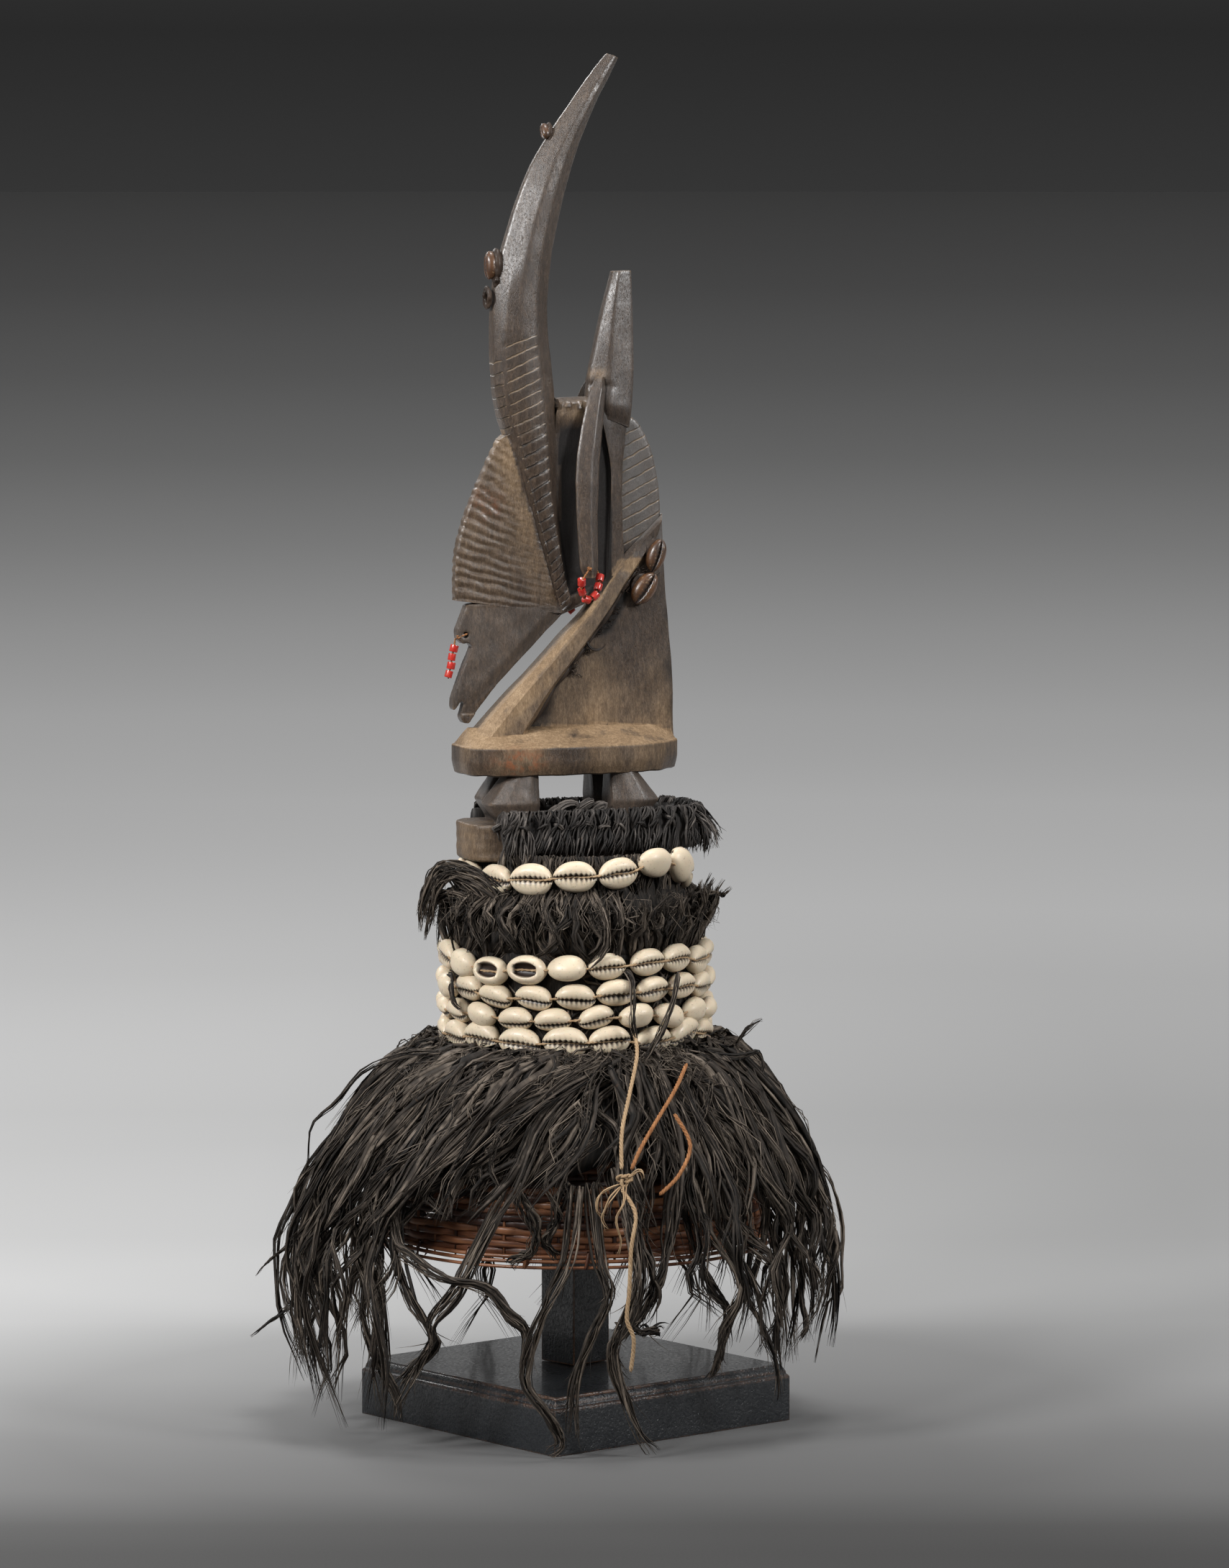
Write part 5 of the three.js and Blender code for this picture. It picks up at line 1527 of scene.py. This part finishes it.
def knot_collar():
    """Doubled locks hitched round a rope, side by side, round the block but for its bare front end."""
    rng = np.random.default_rng(31)
    first, last, place = round_block()
    spots = np.arange(first + 3, last - 2, HITCH_SPACING)
    spots = spots + rng.uniform(-1.4, 1.4, len(spots))
    base, outward = place(spots)
    sideways = np.cross(outward, [0, 0, 1])
    n, count, t = len(spots), HITCH_STRANDS, steps(15)
    profile = spline(HITCH, t)
    beside = steps(count)[None, :, None]
    drop = (rng.uniform(-2.5, 1.5, (n, count, 1)) + rng.uniform(-3, 3, (n, 1, 1))) * smooth_step(t, 0.7, 1)
    waist = rng.uniform(0.5, 0.72, (n, 1, 1))
    half = rng.uniform(3.3, 4.2, (n, 1, 1)) - 1.8 * hill((t, waist, 0.08))
    plait = tau * (rng.uniform(1.2, 2.2, (n, 1, 1)) * t + 1.5 * beside + rng.uniform(0, 1, (n, 1, 1)))
    across = ((2 * beside - 1) * half + 1.2 * np.sin(plait) + 0.7 * wander(rng, (n, count), 15, 6)
              + 2.2 * wander(rng, (n, 1), 15, 4) * t)
    out = profile[:, 0] + 0.7 * wander(rng, (n, count), 15, 6) + 1.1 * np.cos(plait) + 0.5
    line = (base[:, None, None] + outward[:, None, None] * out[..., None]
            + sideways[:, None, None] * across[..., None])
    line[..., 2] = profile[:, 1] + drop + 0.4 * wander(rng, (n, count), 15, 5)
    # The cross turn of each hitch
    s = steps(9, -1)
    cross = (base[:, None] + outward[:, None] * (8.2 + 2.6 * np.cos(1.4 * s))[:, None]
             + sideways[:, None] * (3.0 * s)[:, None])
    cross[..., 2] = 302.2 - 10 * waist[:, 0] + rng.uniform(-3.5, 3.5, (n, 1)) * s + 0.8 * np.cos(2 * s)
    lines = fan_out(cross, 3, np.full(9, 0.8), rng, 0.3, 4, up=outward[:, None])
    sets = [strands(lines, 1.5, 1.2, 0.0, 2.0, up=np.repeat(outward, 3, 0)[:, None], seed=35, taper=0.15)]
    m = n * count
    sets.append(strands(line.reshape(m, 15, 3), rng.uniform(1.0, 2.1, (m, 1)), 1.0, rng.uniform(-0.5, 0.5, m),
                        rng.uniform(-2, 2, m), taper=0.18, up=np.repeat(outward, count, 0)[:, None],
                        seed=32, crimp=0.2, tones=tones_by_lock(rng, n, count, 0.5)))
    # The matted core behind the hitches
    base, outward = place(steps(110, first + 4, last - 4))
    core = dense(COLLAR_CORE, 20, 1)
    shape = outward_faces(*skin(base[:, None] + outward[:, None] * core[:, :1] + core[:, 1:] * vec(0, 0, 1)))
    sets.append((shape, shape[0][:, [0, 2]], np.full(len(shape[0]), 0.2)))
    # Ends frayed at the rear corner, and the rope's knots between the legs
    lines = fan_out(np.array([spline(tip, steps(12)) for tip in FRAYED_CORNER]), 12, steps(12, 1.6, 3.2), rng,
                    1.2, 5, up=(0, -1, 0.2))
    sets.append(strands(lines, rng.uniform(0.6, 1.4, (len(lines), 1)), 0.6, 0.0, 1.5, seed=33, up=(0, -1, 0.2)))
    for x, y, z, size, tilt in ROPE_KNOTS:
        turn = steps(26, 0, tau * 2.2)
        loop = columns(x + size * np.cos(turn) * (1 + 0.1 * np.sin(3 * turn)),
                       y + 1.6 * np.sin(turn * 0.5 + tilt), z + 0.62 * size * np.sin(turn + tilt))[None]
        lines = fan_out(loop, 6, np.full(26, 1.1), rng, 0.5, 6, up=(0, -1, 0.3))
        sets.append(strands(lines, 1.5, 1.1, 0.0, 4.0, seed=34, up=(0, -1, 0.3), taper=0.1))
    fibre_piece("hitched_collar", sets, KNOTTED, ["fringe_collar"])


hang_skirt()
tuft_ruff()
wrap_band()
knot_collar()


# Cowries: one shell is modelled lying along X with its slit outward (-Y), and copied

def cowrie(holed=False, stations=26):
    """A unit shell, 1 long, 1 high and 1 deep, as (points, quads, tris), with its deep values. A
    holed one is cut open at the back."""
    rows, deep = [], []
    for k, s in enumerate(np.sin(steps(stations, -1) * pi / 2 * 0.985)):
        high = 0.5 * max(1 - abs(s) ** 2.3, 0.0) ** 0.6 * (1 + 0.06 * s)
        back = 0.62 * max(1 - abs(s) ** 2.5, 0.0) ** 0.62 * (1 + 0.1 * s)
        face = 0.34 * max(1 - abs(s) ** 3.2, 0.0) ** 0.55
        tooth = k % 2 == 0
        width = (0.035 if tooth else 0.085) * (1 - 0.5 * s * s) + 0.012 * s
        centre = 0.03 - 0.05 * s * s
        dip = 0.0 if tooth else 0.045
        well = face * 0.25 if abs(s) < 0.97 else 0.9 * face
        # Half an outline, from the slit over the lip to the back: (z, y, deep)
        half = [(0.0, well, 1.0), (width * 0.8, face * 0.62, 0.55 if tooth else 0.95),
                (width * 1.25 + 0.012, face * (0.93 - dip), 0.25 if tooth else 0.62),
                (max(width * 1.7 + 0.03, 0.3 * high), face * (1.0 - 0.7 * dip), 0.0 if tooth else 0.2),
                (0.62 * high, face * 0.9, 0.0), (0.86 * high, face * 0.52, 0.0), (high, -0.02, 0.0),
                (0.93 * high, -0.45 * back, 0.0), (0.74 * high, -0.78 * back, 0.0)]
        if holed and abs(s) < 0.62:
            rim = sqrt(1 - (s / 0.62) ** 2)
            half += [(0.60 * high * (0.35 + 0.65 * rim), -0.88 * back, 0.0),
                     (0.5 * high * (0.3 + 0.7 * rim), -0.80 * back, 0.5),
                     (0.4 * high, -0.25 * back, 0.95)]
            top = (0.0, -0.12 * back, 1.0)
        else:
            half += [(0.5 * high, -0.93 * back, 0.0), (0.35 * high, -0.975 * back, 0.0),
                     (0.2 * high, -back, 0.0)]
            top = (0.0, -1.005 * back, 0.0)
        upper = [(centre * high * 2 + z if z < 0.3 * high else z, y, d) for z, y, d in half]
        lower = [(centre * high * 2 - z if z < 0.3 * high else -z, y, d) for z, y, d in half[:0:-1]]
        loop = upper + [top] + lower
        rows.append([(0.5 * s, -y, z) for z, y, d in loop])
        deep += [d for z, y, d in loop]
    return skin(rows), np.array(deep + [0.3, 0.3])


def turned(points, axis, degrees):
    c, s = cos(radians(degrees)), sin(radians(degrees))
    a, b = {"x": (1, 2), "y": (2, 0), "z": (0, 1)}[axis]
    out = points.copy()
    out[:, a], out[:, b] = c * points[:, a] - s * points[:, b], s * points[:, a] + c * points[:, b]
    return out


WHOLE_COWRIE, HOLED_COWRIE = cowrie(), cowrie(holed=True)


def lay_shell(kind, size, roll, tilt, spin, spot, bearing):
    """A shell of size (long, high, deep) at spot, and its deep values. kind is slit, back or open: the
    side that shows, open being a holed back. roll turns it down, tilt turns it in its face."""
    (points, quads, tris), deep = HOLED_COWRIE if kind == "open" else WHOLE_COWRIE
    p = points * np.array(size)[[0, 2, 1]]
    if kind != "slit":
        p = turned(p, "x", 180)
    for axis, degrees in (("x", roll), ("y", tilt), ("z", spin), ("z", bearing + 90)):
        p = turned(p, axis, degrees)
    return outward_faces(p + spot, quads, tris), deep


# Strings: count, radius to the shells' middle, height, shell size, bearing of the first, roll, and for
# some shells by number (kind, roll, tilt, up)
STRINGS = (
    ("cowrie_string_1", 16, 54.6, 270.6, (21.4, 15.6, 9.4), -110, 4,
     {0: ("slit", 2, 0, 3.4), 1: ("slit", 3, -7, 4.6), 2: ("back", 20, 8, 9), 3: ("back", 15, 38, 6),
      13: ("slit", 8, 10, 0), 14: ("slit", 5, 4, 0.4), 15: ("slit", 0, 0, 1.6)}),
    ("cowrie_string_2", 20, 64, 231.2, (20.4, 14.2, 10), -113, 8,
     {0: ("back", -38, -2, -0.8), 1: ("slit", 10, -4, 0), 2: ("slit", 6, -5, 1.2), 3: ("slit", 6, -2, 1.8),
      17: ("back", 0, 12, -1), 18: ("open", -14, 8, -3.4), 19: ("open", -6, 3, -1.6)}),
    ("cowrie_string_3", 20, 64, 217.4, (19.6, 13.4, 9.8), -110, 24,
     {0: ("slit", 28, 4, -1), 1: ("slit", 24, -2, 0.8), 2: ("slit", 14, -8, 1.4), 3: ("slit", 10, -4, 1.6),
      18: ("slit", 42, 10, -2), 19: ("slit", 30, 8, -1.6)}),
    ("cowrie_string_4", 20, 63.8, 205.4, (19, 12.4, 9.6), -119, 40,
     {0: ("slit", 44, -4, -0.4), 1: ("slit", 34, -14, 1), 2: ("back", 20, -8, 1.8), 3: ("back", -24, 12, 0),
      4: ("back", 6, -4, 1), 18: ("back", 24, 12, 1.2), 19: ("slit", 46, -2, -0.6)}),
    ("cowrie_string_5", 18, 64.2, 193.6, (21.8, 15.4, 10.2), -114, 12,
     {0: ("slit", 6, 3, 1.0), 1: ("slit", 8, -6, 1.6), 2: ("slit", 20, -8, 0), 3: ("slit", 26, -16, 2),
      16: ("slit", 14, 4, 1.4), 17: ("slit", 8, 6, 0)}),
)
# Shells stuck on the wood: (long, high, deep), roll, tilt, place, and the bearing they face
STUCK = {"neck_cowrie_upper": ((16.4, 9.4, 8), -8, 108, (39.8, -7.6, 425.5), -96),
         "neck_cowrie_lower": ((17.6, 11, 8.4), -4, 124, (33.4, -8.6, 409.5), -96),
         "horn_cowrie": ((14, 8, 7), 0, 90, (-43.6, 0, 567.4), 180),
         "horn_cowrie_small": ((8.4, 5.4, 5), 0, 62, (-15.6, 0, 632), 180)}


def string_shells():
    for number, (name, count, radius, z, size, first, roll, special) in enumerate(STRINGS):
        rng = np.random.default_rng(300 + number)
        laid, joints = [], []
        for k in range(count):
            bearing = first + 360 * k / count + rng.uniform(-0.8, 0.8)
            scale = rng.uniform(0.93, 1.04)
            wobble = rng.normal(size=3) * (7, 5, 0.5) + (roll, 0, 0)
            usual = "slit" if rng.uniform() > 0.12 else "back", *wobble
            kind, own_roll, tilt, up = special.get(k, usual)
            laid.append(lay_shell(kind, np.array(size) * scale, own_roll, tilt, rng.uniform(-5, 5),
                                  on_bearing(bearing, radius, z + up), bearing))
            joints.append((bearing, z + up))
        shapes, deep = zip(*laid)
        piece(name + "_shells", gather(shapes), SHELL, [name], values={"deep": np.concatenate(deep)})
        # The twine runs in the slits and shows between the shells.
        route = []
        for (bearing, height), (after, after_z) in zip(joints, joints[1:] + joints[:1]):
            gap = (after - bearing) % 360
            route += [(bearing - gap * 0.22, radius + 1.6, height), (bearing, radius + 1.2, height),
                      (bearing + gap * 0.22, radius + 1.6, height),
                      (bearing + gap * 0.5, radius + 2.6, (height + after_z) / 2)]
        path = spline(route_points(route + route[:1]), steps(6 * len(route)))
        fibre_piece(name + "_twine", [twisted(path, 1.5, 5, 2, 0.55, 60 + number, 0.62)], LIGHT_TWINE)


def stick_shells():
    for name, (size, roll, tilt, spot, bearing) in STUCK.items():
        shape, deep = lay_shell("slit", size, roll, tilt, 0, spot, bearing)
        piece(name + "_shell", shape, OLD_SHELL, [name], values={"deep": deep})


string_shells()
stick_shells()


# Basketry: flat weavers pass in front of and behind upright stakes; round canes bind the edge

# The cap's outside as (radius, z), from the rim to the middle of its closed top
CAP_LINE = ((97, 92), (95.5, 118), (90, 138), (80, 157), (67, 172), (56.5, 187), (53, 205), (51.5, 232),
            (49, 256), (46.5, 268), (42, 274.5), (34, 276.6), (22, 276.6), (10, 276.6), (2, 276.6))
STAKES = 44
STAKE_DEPTH = 2.2           # from the cap's line to the middle of a stake
WEAVER_STEP = 3.35
FINE_BELOW = 150            # the weavers below this height can be seen
# Canes of the edge: radius, height, thickness and waviness
EDGE_CANES = ((96.7, 90.2, 1.6, 0.12), (96.2, 93.0, 1.9, 0.2), (95.6, 95.2, 2.0, 0.25))
# One turn of the lashing round the edge: radius, z and how far along
LASHING = ((97.4, 89.4, 0), (98.1, 91.5, 0.2), (97.8, 95, 0.6), (96.9, 97.6, 0.9), (94, 97.2, 1),
           (92.4, 93, 0.6), (93.6, 89.8, 0.1))
LASHING_LEAN = 0.018


def cap_walk(step):
    """Points of the cap's line every step mm and the directions out of it, both as (r, z)."""
    line = spline(CAP_LINE, steps(1200))
    walk = walked(line)
    at = np.arange(step / 2, walk[-1] - 2, step)
    spot = columns(np.interp(at, walk, line[:, 0]), np.interp(at, walk, line[:, 1]))
    way = unit(np.gradient(spot, axis=0))
    return spot, columns(way[:, 1], -way[:, 0])


def weave_cap():
    rng = np.random.default_rng(9)
    low, high = [], []
    for k, ((r, z), (out_r, out_z)) in list(enumerate(zip(*cap_walk(WEAVER_STEP))))[1:]:
        fine = z < FINE_BELOW
        stakes = STAKES if r > 30 else STAKES // 2
        turn = steps(150 if fine else 60, 0, tau) + k * 0.7
        swing = 0.95 * np.cos(stakes / 2 * turn + pi * k) - STAKE_DEPTH + 0.25 * np.sin(7 * turn + k)
        slip = 0.3 * np.sin(5 * turn + 0.4 * k) + 0.12 * np.sin(17 * turn + k)
        line = round_axis(turn, r + out_r * swing - out_z * slip, z + out_z * swing + out_r * slip)
        (low if fine else high).append(strands(
            line[None], 3.75 + 0.2 * rng.uniform(-1, 1), 1.5, section=6 if fine else 4, taper=0.003,
            up=round_axis(turn, out_r, out_z)[None], seed=int(rng.integers(1e6))))
    stake = spline(CAP_LINE, steps(30, 0.005, 0.78))
    lines = round_axis(full_turn(STAKES)[:, None], stake[:, 0] - STAKE_DEPTH, stake[:, 1])
    low.append(strands(lines, 2.6, 1.4, seed=4, taper=0.01))
    ring = steps(200, 0, tau)
    for r, z, thick, wave in EDGE_CANES:
        line = round_axis(ring, r + wave * np.sin(9 * ring + z), z + wave * np.sin(6 * ring))
        low.append(strands(line[None], thick, thick, section=8, taper=0.003, seed=3, tones=vec(0.75)))
    turns = np.arange(0, 60, 3)
    turns = tau * (turns + 0.3 * np.sin(turns * 2.3)) / 60
    r, z, lean = np.transpose(LASHING)
    loops = round_axis(turns[:, None] + lean * LASHING_LEAN, r, z)
    low.append(strands([spline(loop, steps(10)) for loop in loops], 2.2, 0.7, seed=6, taper=0.02))
    fibre_piece("woven_brim", low, CANE, ["wicker_cap"])
    fibre_piece("woven_crown", high, CANE)


weave_cap()


# The stand, shaped from cubes

# The plinth's moulding from its straight side up, as (half width, z)
BASE_STEPS = ((75, 21.4), (74.9, 22.1), (74.45, 22.8), (73.8, 23.2), (73.75, 23.9), (73.5, 24.9),
              (72.95, 26.0), (72.2, 26.9), (71.75, 27.2), (71.7, 28))
POST_WIDTH = 23.7
POST_FOOT, POST_TOP = 28.3, 273.2


def pick_faces(thing, test):
    """In edit mode: selects only the faces whose middle and normal pass the test."""
    bpy.context.tool_settings.mesh_select_mode = (False, False, True)
    bpy.ops.mesh.select_all(action="DESELECT")
    for face in bmesh.from_edit_mesh(thing.data).faces:
        if test(face.calc_center_median(), face.normal):
            face.select_set(True)
    bmesh.update_edit_mesh(thing.data)


def cube(name, width, low, high):
    bpy.ops.object.select_all(action="DESELECT")
    bpy.ops.mesh.primitive_cube_add(size=1)
    thing = bpy.context.object
    thing.name = name
    bpy.ops.transform.resize(value=(width * MM, width * MM, (high - low) * MM))
    bpy.ops.transform.translate(value=(0, 0, (low + high) / 2 * MM))
    bpy.ops.object.transform_apply(location=True, rotation=True, scale=True)
    return thing


def round_and_turn(thing, node, width, turn, near_edge):
    """Rounds the edges, notes how near each vertex is to one, turns the piece and gives its finish."""
    apply(thing, "BEVEL", width=width * MM, segments=3, limit_method="ANGLE", angle_limit=radians(25))
    points = vertex_table(thing.data) / MM
    put_values(thing.data, edge=near_edge(points), hollow=np.zeros(len(points)))
    in_edit_mode(lambda: bpy.ops.mesh.select_all(action="SELECT"),
                 lambda: bpy.ops.transform.rotate(value=radians(-turn), orient_axis="Z",
                                                  center_override=(0, 0, 0)))
    finish_piece(thing, LACQUER, [node], 35)


def mould_plinth(base):
    pick_faces(base, lambda middle, normal: normal.z > 0.9)
    for (before, z0), (after, z1) in zip(BASE_STEPS, BASE_STEPS[1:]):
        bpy.ops.mesh.extrude_region_move(TRANSFORM_OT_translate={"value": (0, 0, (z1 - z0) * MM)})
        bpy.ops.transform.resize(value=(after / before, after / before, 1), center_override=(0, 0, z1 * MM))
    bpy.ops.mesh.inset(thickness=1.4 * MM)
    bpy.ops.mesh.inset(thickness=22 * MM)
    inset_sides(base, 1.4, BASE_STEPS[0][1])


def inset_sides(thing, thickness, below):
    pick_faces(thing, lambda middle, normal: abs(normal.z) < 0.1 and middle.z < below * MM)
    bpy.ops.mesh.inset(thickness=thickness * MM, use_individual=True)


def plinth_edges(p):
    """How much wear each point of the plinth shows: corners, the moulding's lip, the top's rim and the foot."""
    second, out = np.sort(np.abs(p[:, :2])).T
    z = p[:, 2]
    corner = (second > 74.3 - 0.35 * np.maximum(z - 21, 0)) * 0.45
    lip = (z > 21.3) * (z < 22.9) * (out > 74.3) * 0.3
    top = (z > 26.6) * (out > 71.0) * (0.34 + 0.22 * (p[:, 1] < 0) * (p[:, 0] < -60))
    return np.maximum.reduce([corner, lip, top, (z < 0.9) * 0.2])


def post_edges(p):
    return 0.7 * (np.abs(p[:, :2]).min(1) > POST_WIDTH / 2 - 0.7)


def build_stand():
    side, low = BASE_STEPS[0]
    base = cube("plinth", 2 * side, 0, low)
    in_edit_mode(lambda: mould_plinth(base))
    round_and_turn(base, "stand_base", 0.4, STAND_TURN, plinth_edges)
    post = cube("post", POST_WIDTH, POST_FOOT, POST_TOP)
    in_edit_mode(lambda: inset_sides(post, 1.2, POST_TOP))
    round_and_turn(post, "stand_post", 0.5, POST_TURN, post_edges)


build_stand()


# Glass beads: one bead is turned, drilled and rounded, then strung

def one_bead():
    """A bead as its points and triangles, and how proud and how sunk each point is."""
    bpy.ops.object.select_all(action="DESELECT")
    bpy.ops.mesh.primitive_cylinder_add(vertices=20, radius=1.95 * MM, depth=3.8 * MM)
    bead = bpy.context.object

    def drill():
        pick_faces(bead, lambda middle, normal: abs(normal.z) > 0.9)
        bpy.ops.mesh.inset(thickness=1.15 * MM, use_individual=True)
        for way in (1, -1):
            pick_faces(bead, lambda middle, normal: normal.z * way > 0.9 and middle.xy.length < 1e-6)
            bpy.ops.transform.translate(value=(0, 0, -0.9 * way * MM))
    in_edit_mode(drill)
    apply(bead, "BEVEL", width=0.42 * MM, segments=3, limit_method="ANGLE", angle_limit=radians(50))
    apply(bead, "TRIANGULATE", min_vertices=4)
    points = vertex_table(bead.data) / MM
    tris = np.array([list(p.vertices) for p in bead.data.polygons])
    proud, sunk = edge_values(bead.data, 2.2, 1)
    bpy.data.objects.remove(bead)
    return points, tris, proud, sunk


BEAD = one_bead()


def string_beads(name, thread, beads, dirt_and_shade):
    points, tris, proud, sunk = BEAD
    rng = np.random.default_rng(len(name))
    beads = np.array(beads, float)
    shapes = []
    for spot, way in zip(beads, unit(np.gradient(beads, axis=0))):
        side = unit(np.cross(way, vec(0.1, 1, 0.2)))
        across = (points[:, :1] * side + points[:, 1:2] * np.cross(way, side)) * rng.uniform(0.93, 1.06)
        shapes.append((across + points[:, 2:] * way + spot, NO_QUADS, tris))
    piece(name + "_glass", gather(shapes), GLASS, [name], angle=40,
          values={"edge": np.tile(proud, len(beads)), "hollow": np.tile(sunk, len(beads)) + dirt_and_shade})
    path = spline(thread, steps(70))
    turn = steps(24, 0, 11)
    knot = path[0] + 0.9 * columns(np.cos(turn), 0.9 * np.sin(turn), steps(24, -0.8, 0.8))
    fibre_piece(name + "_thread", [twisted(path, 1.0, 3, 2, 1.6, 71, 0.62),
                                   twisted(knot, 1.0, 3, 2, 2, 72, 0.62)], TAN_TWINE)


NOSE_BEADS = ((-62.3, 0, 382), (-63.4, 0, 377.9), (-63.8, 0, 373.7), (-65, 0, 369.6))
NOSE_THREAD = ((-60.6, -2.2, 387.6), (-57, -3.2, 389), (-56.6, 0, 389), (-57, 3.2, 389), (-60.4, 2.2, 387.6),
               (-62, 0, 384.6), *NOSE_BEADS, (-65.2, 0, 367.2))
NEAR_BEADS = ((-3.6, 20, 414.2), (-2.9, 18.4, 409.6), (-0.1, 17.2, 405.5), (4.2, 17, 407.2),
              (6.2, 16.3, 411.4), (7.7, 14.6, 415.6))
FAR_BEADS = ((-3.6, 20, 414.2), (-3.4, 18.6, 409.2), (-2.6, 18, 404.2), (-0.6, 17.4, 398.6), (3.9, 17, 398),
             (7, 16, 405.4))


def hang_beads():
    string_beads("nose_beads", NOSE_THREAD, NOSE_BEADS, 0.0)
    for name, side, beads in (("near_ear_beads", -1, NEAR_BEADS), ("far_ear_beads", 1, FAR_BEADS)):
        thread = ((0.4, 20.2, 420.6), *beads, (6, 12.6, 420), (0.6, 14.2, 421), (0.6, 19.6, 421))
        string_beads(name, np.array(thread) * (1, side, 1), np.array(beads) * (1, side, 1), 0.42)


hang_beads()


# Small remains: the twines' knot and frayed ends, fibre and resin in the neck's groove

FRAYED_ENDS = (((-99.5, 125, 134), (-102.5, 128.5, 128), (-104, 128, 120), (-103, 127, 113)),
               ((-99, 126, 134), (-99.5, 130, 127), (-101, 130.5, 119), (-100, 129, 108), (-100.6, 128, 101)),
               ((-100, 125, 135), (-104, 127, 131), (-105, 127, 124), (-103.6, 127, 119)),
               ((-98, 125, 138), (-96, 128, 141), (-95, 127, 137)))
# Middle and half sizes of the beds of resin under the shells
RESIN_BEDS = (((-40.4, 0, 567.4), (2.9, 5.0, 8.4)), ((-13.2, 0, 631.2), (2.0, 3.2, 5.2)),
              ((39.2, -5.4, 426), (4.6, 1.6, 7.6)), ((32.6, -6.2, 409.8), (5.6, 1.8, 7)),
              ((-41.2, -2, 560), (1.6, 2.8, 3)))


def knot_and_fray():
    t = steps(60, 0, tau)
    trefoil = columns(np.sin(t) + 2 * np.sin(2 * t), 0.8 * -np.sin(3 * t), np.cos(t) - 2 * np.cos(2 * t))
    path = turned(trefoil * (1.25, 1.2, 0.98), "z", -10) + on_bearing(-98.8, 124.2, 136.8)
    fibre_piece("twine_knot_tied", [twisted(path, 2.0, 5, 2, 1.2, 81, 0.6)], LIGHT_TWINE, ["twine_knot"])
    lines = fan_out(routes(FRAYED_ENDS, 16), 3, steps(16, 0.4, 1.5), np.random.default_rng(82), 0.8, 5)
    fibre_piece("twine_fray", [strands(lines, 0.8, 0.7, section=3, twist=2.0, seed=83)], LIGHT_TWINE)


def groove_remains():
    """Blackened fibre and resin pressed into the groove between the neck beam and the panel."""
    rng = np.random.default_rng(91)
    back = spline(NECK_BACK, steps(34, 0.06, 0.84))
    sets = []
    for side in (-1, 1):
        centre = columns(back[:, 0] + 0.8, side * steps(34, 5.7, 5.1), back[:, 1] - 0.8)
        lump = 2.0 + 1.5 * wander(rng, (1,), 34, 20)
        sets.append(strands(centre[None], lump, lump * 0.8, section=8, seed=92, up=(0, side, 0), taper=0.1))
        spots = np.concatenate([centre[rng.integers(1, 33, 11)], [(30, side * 6, 403), (37, side * 5.6, 417)]])
        start = np.repeat(spots, 14, 0) + rng.normal(size=(182, 3)) * (1.5, 0.4, 1.5)
        curl = np.moveaxis(wander(rng, (182, 3), 8, 5), 1, 2) * (1.5, 0.6, 1.5)
        hair = start[:, None] + rng.normal(size=(182, 1, 3)) * (2.0, 0.6, 2.0) * steps(8)[:, None] + curl
        hair[..., 1] = side * np.clip(np.abs(hair[..., 1]), 5.2, 9.4)
        sets.append(strands(hair, 0.38, 0.3, seed=93, up=(0, side, 0), taper=0.5))
    turn = steps(26, 2.1, 5.9)
    loop = columns(8.4 + 5.4 * np.cos(turn), -7.8 + 0.8 * np.sin(turn), 386.2 + 6.2 * np.sin(turn))
    lines = fan_out(loop[None], 4, np.full(26, 0.35), rng, 0.2, 6, up=(0, -1, 0))
    sets.append(strands(lines, 1.0, 0.8, seed=94, up=(0, -1, 0)))
    fibre_piece("groove_fibre", sets, RESIN)


def resin_lumps():
    """The ring of resin where a shell is lost, and the beds of the shells on the horn and the neck."""
    turn, round_ring = full_turn(30), full_turn(16)[:, None]
    r = 3.7 + 1.25 * np.cos(round_ring)
    rows = columns(-44.9 + 1.15 * np.sin(round_ring), r * 0.95 * np.cos(turn), 552 + 1.15 * r * np.sin(turn))
    rows = rows + 0.35 * waves(rows, 4, 17)[..., None]
    shapes = [(rows.reshape(-1, 3), grid_faces(16, 30, True), NO_TRIS)]
    up = steps(18, -pi / 2, pi / 2)[:, None]
    for middle, sizes in RESIN_BEDS:
        ball = columns(np.cos(up) * np.cos(turn), np.cos(up) * np.sin(turn), np.sin(up)) * sizes + middle
        shapes.append(skin(ball + 0.25 * waves(ball, 4.5, 18)[..., None]))
    piece("resin_beds", gather([outward_faces(*shape) for shape in shapes]), RESIN, ["resin_ring"])


knot_and_fray()
groove_remains()
resin_lumps()
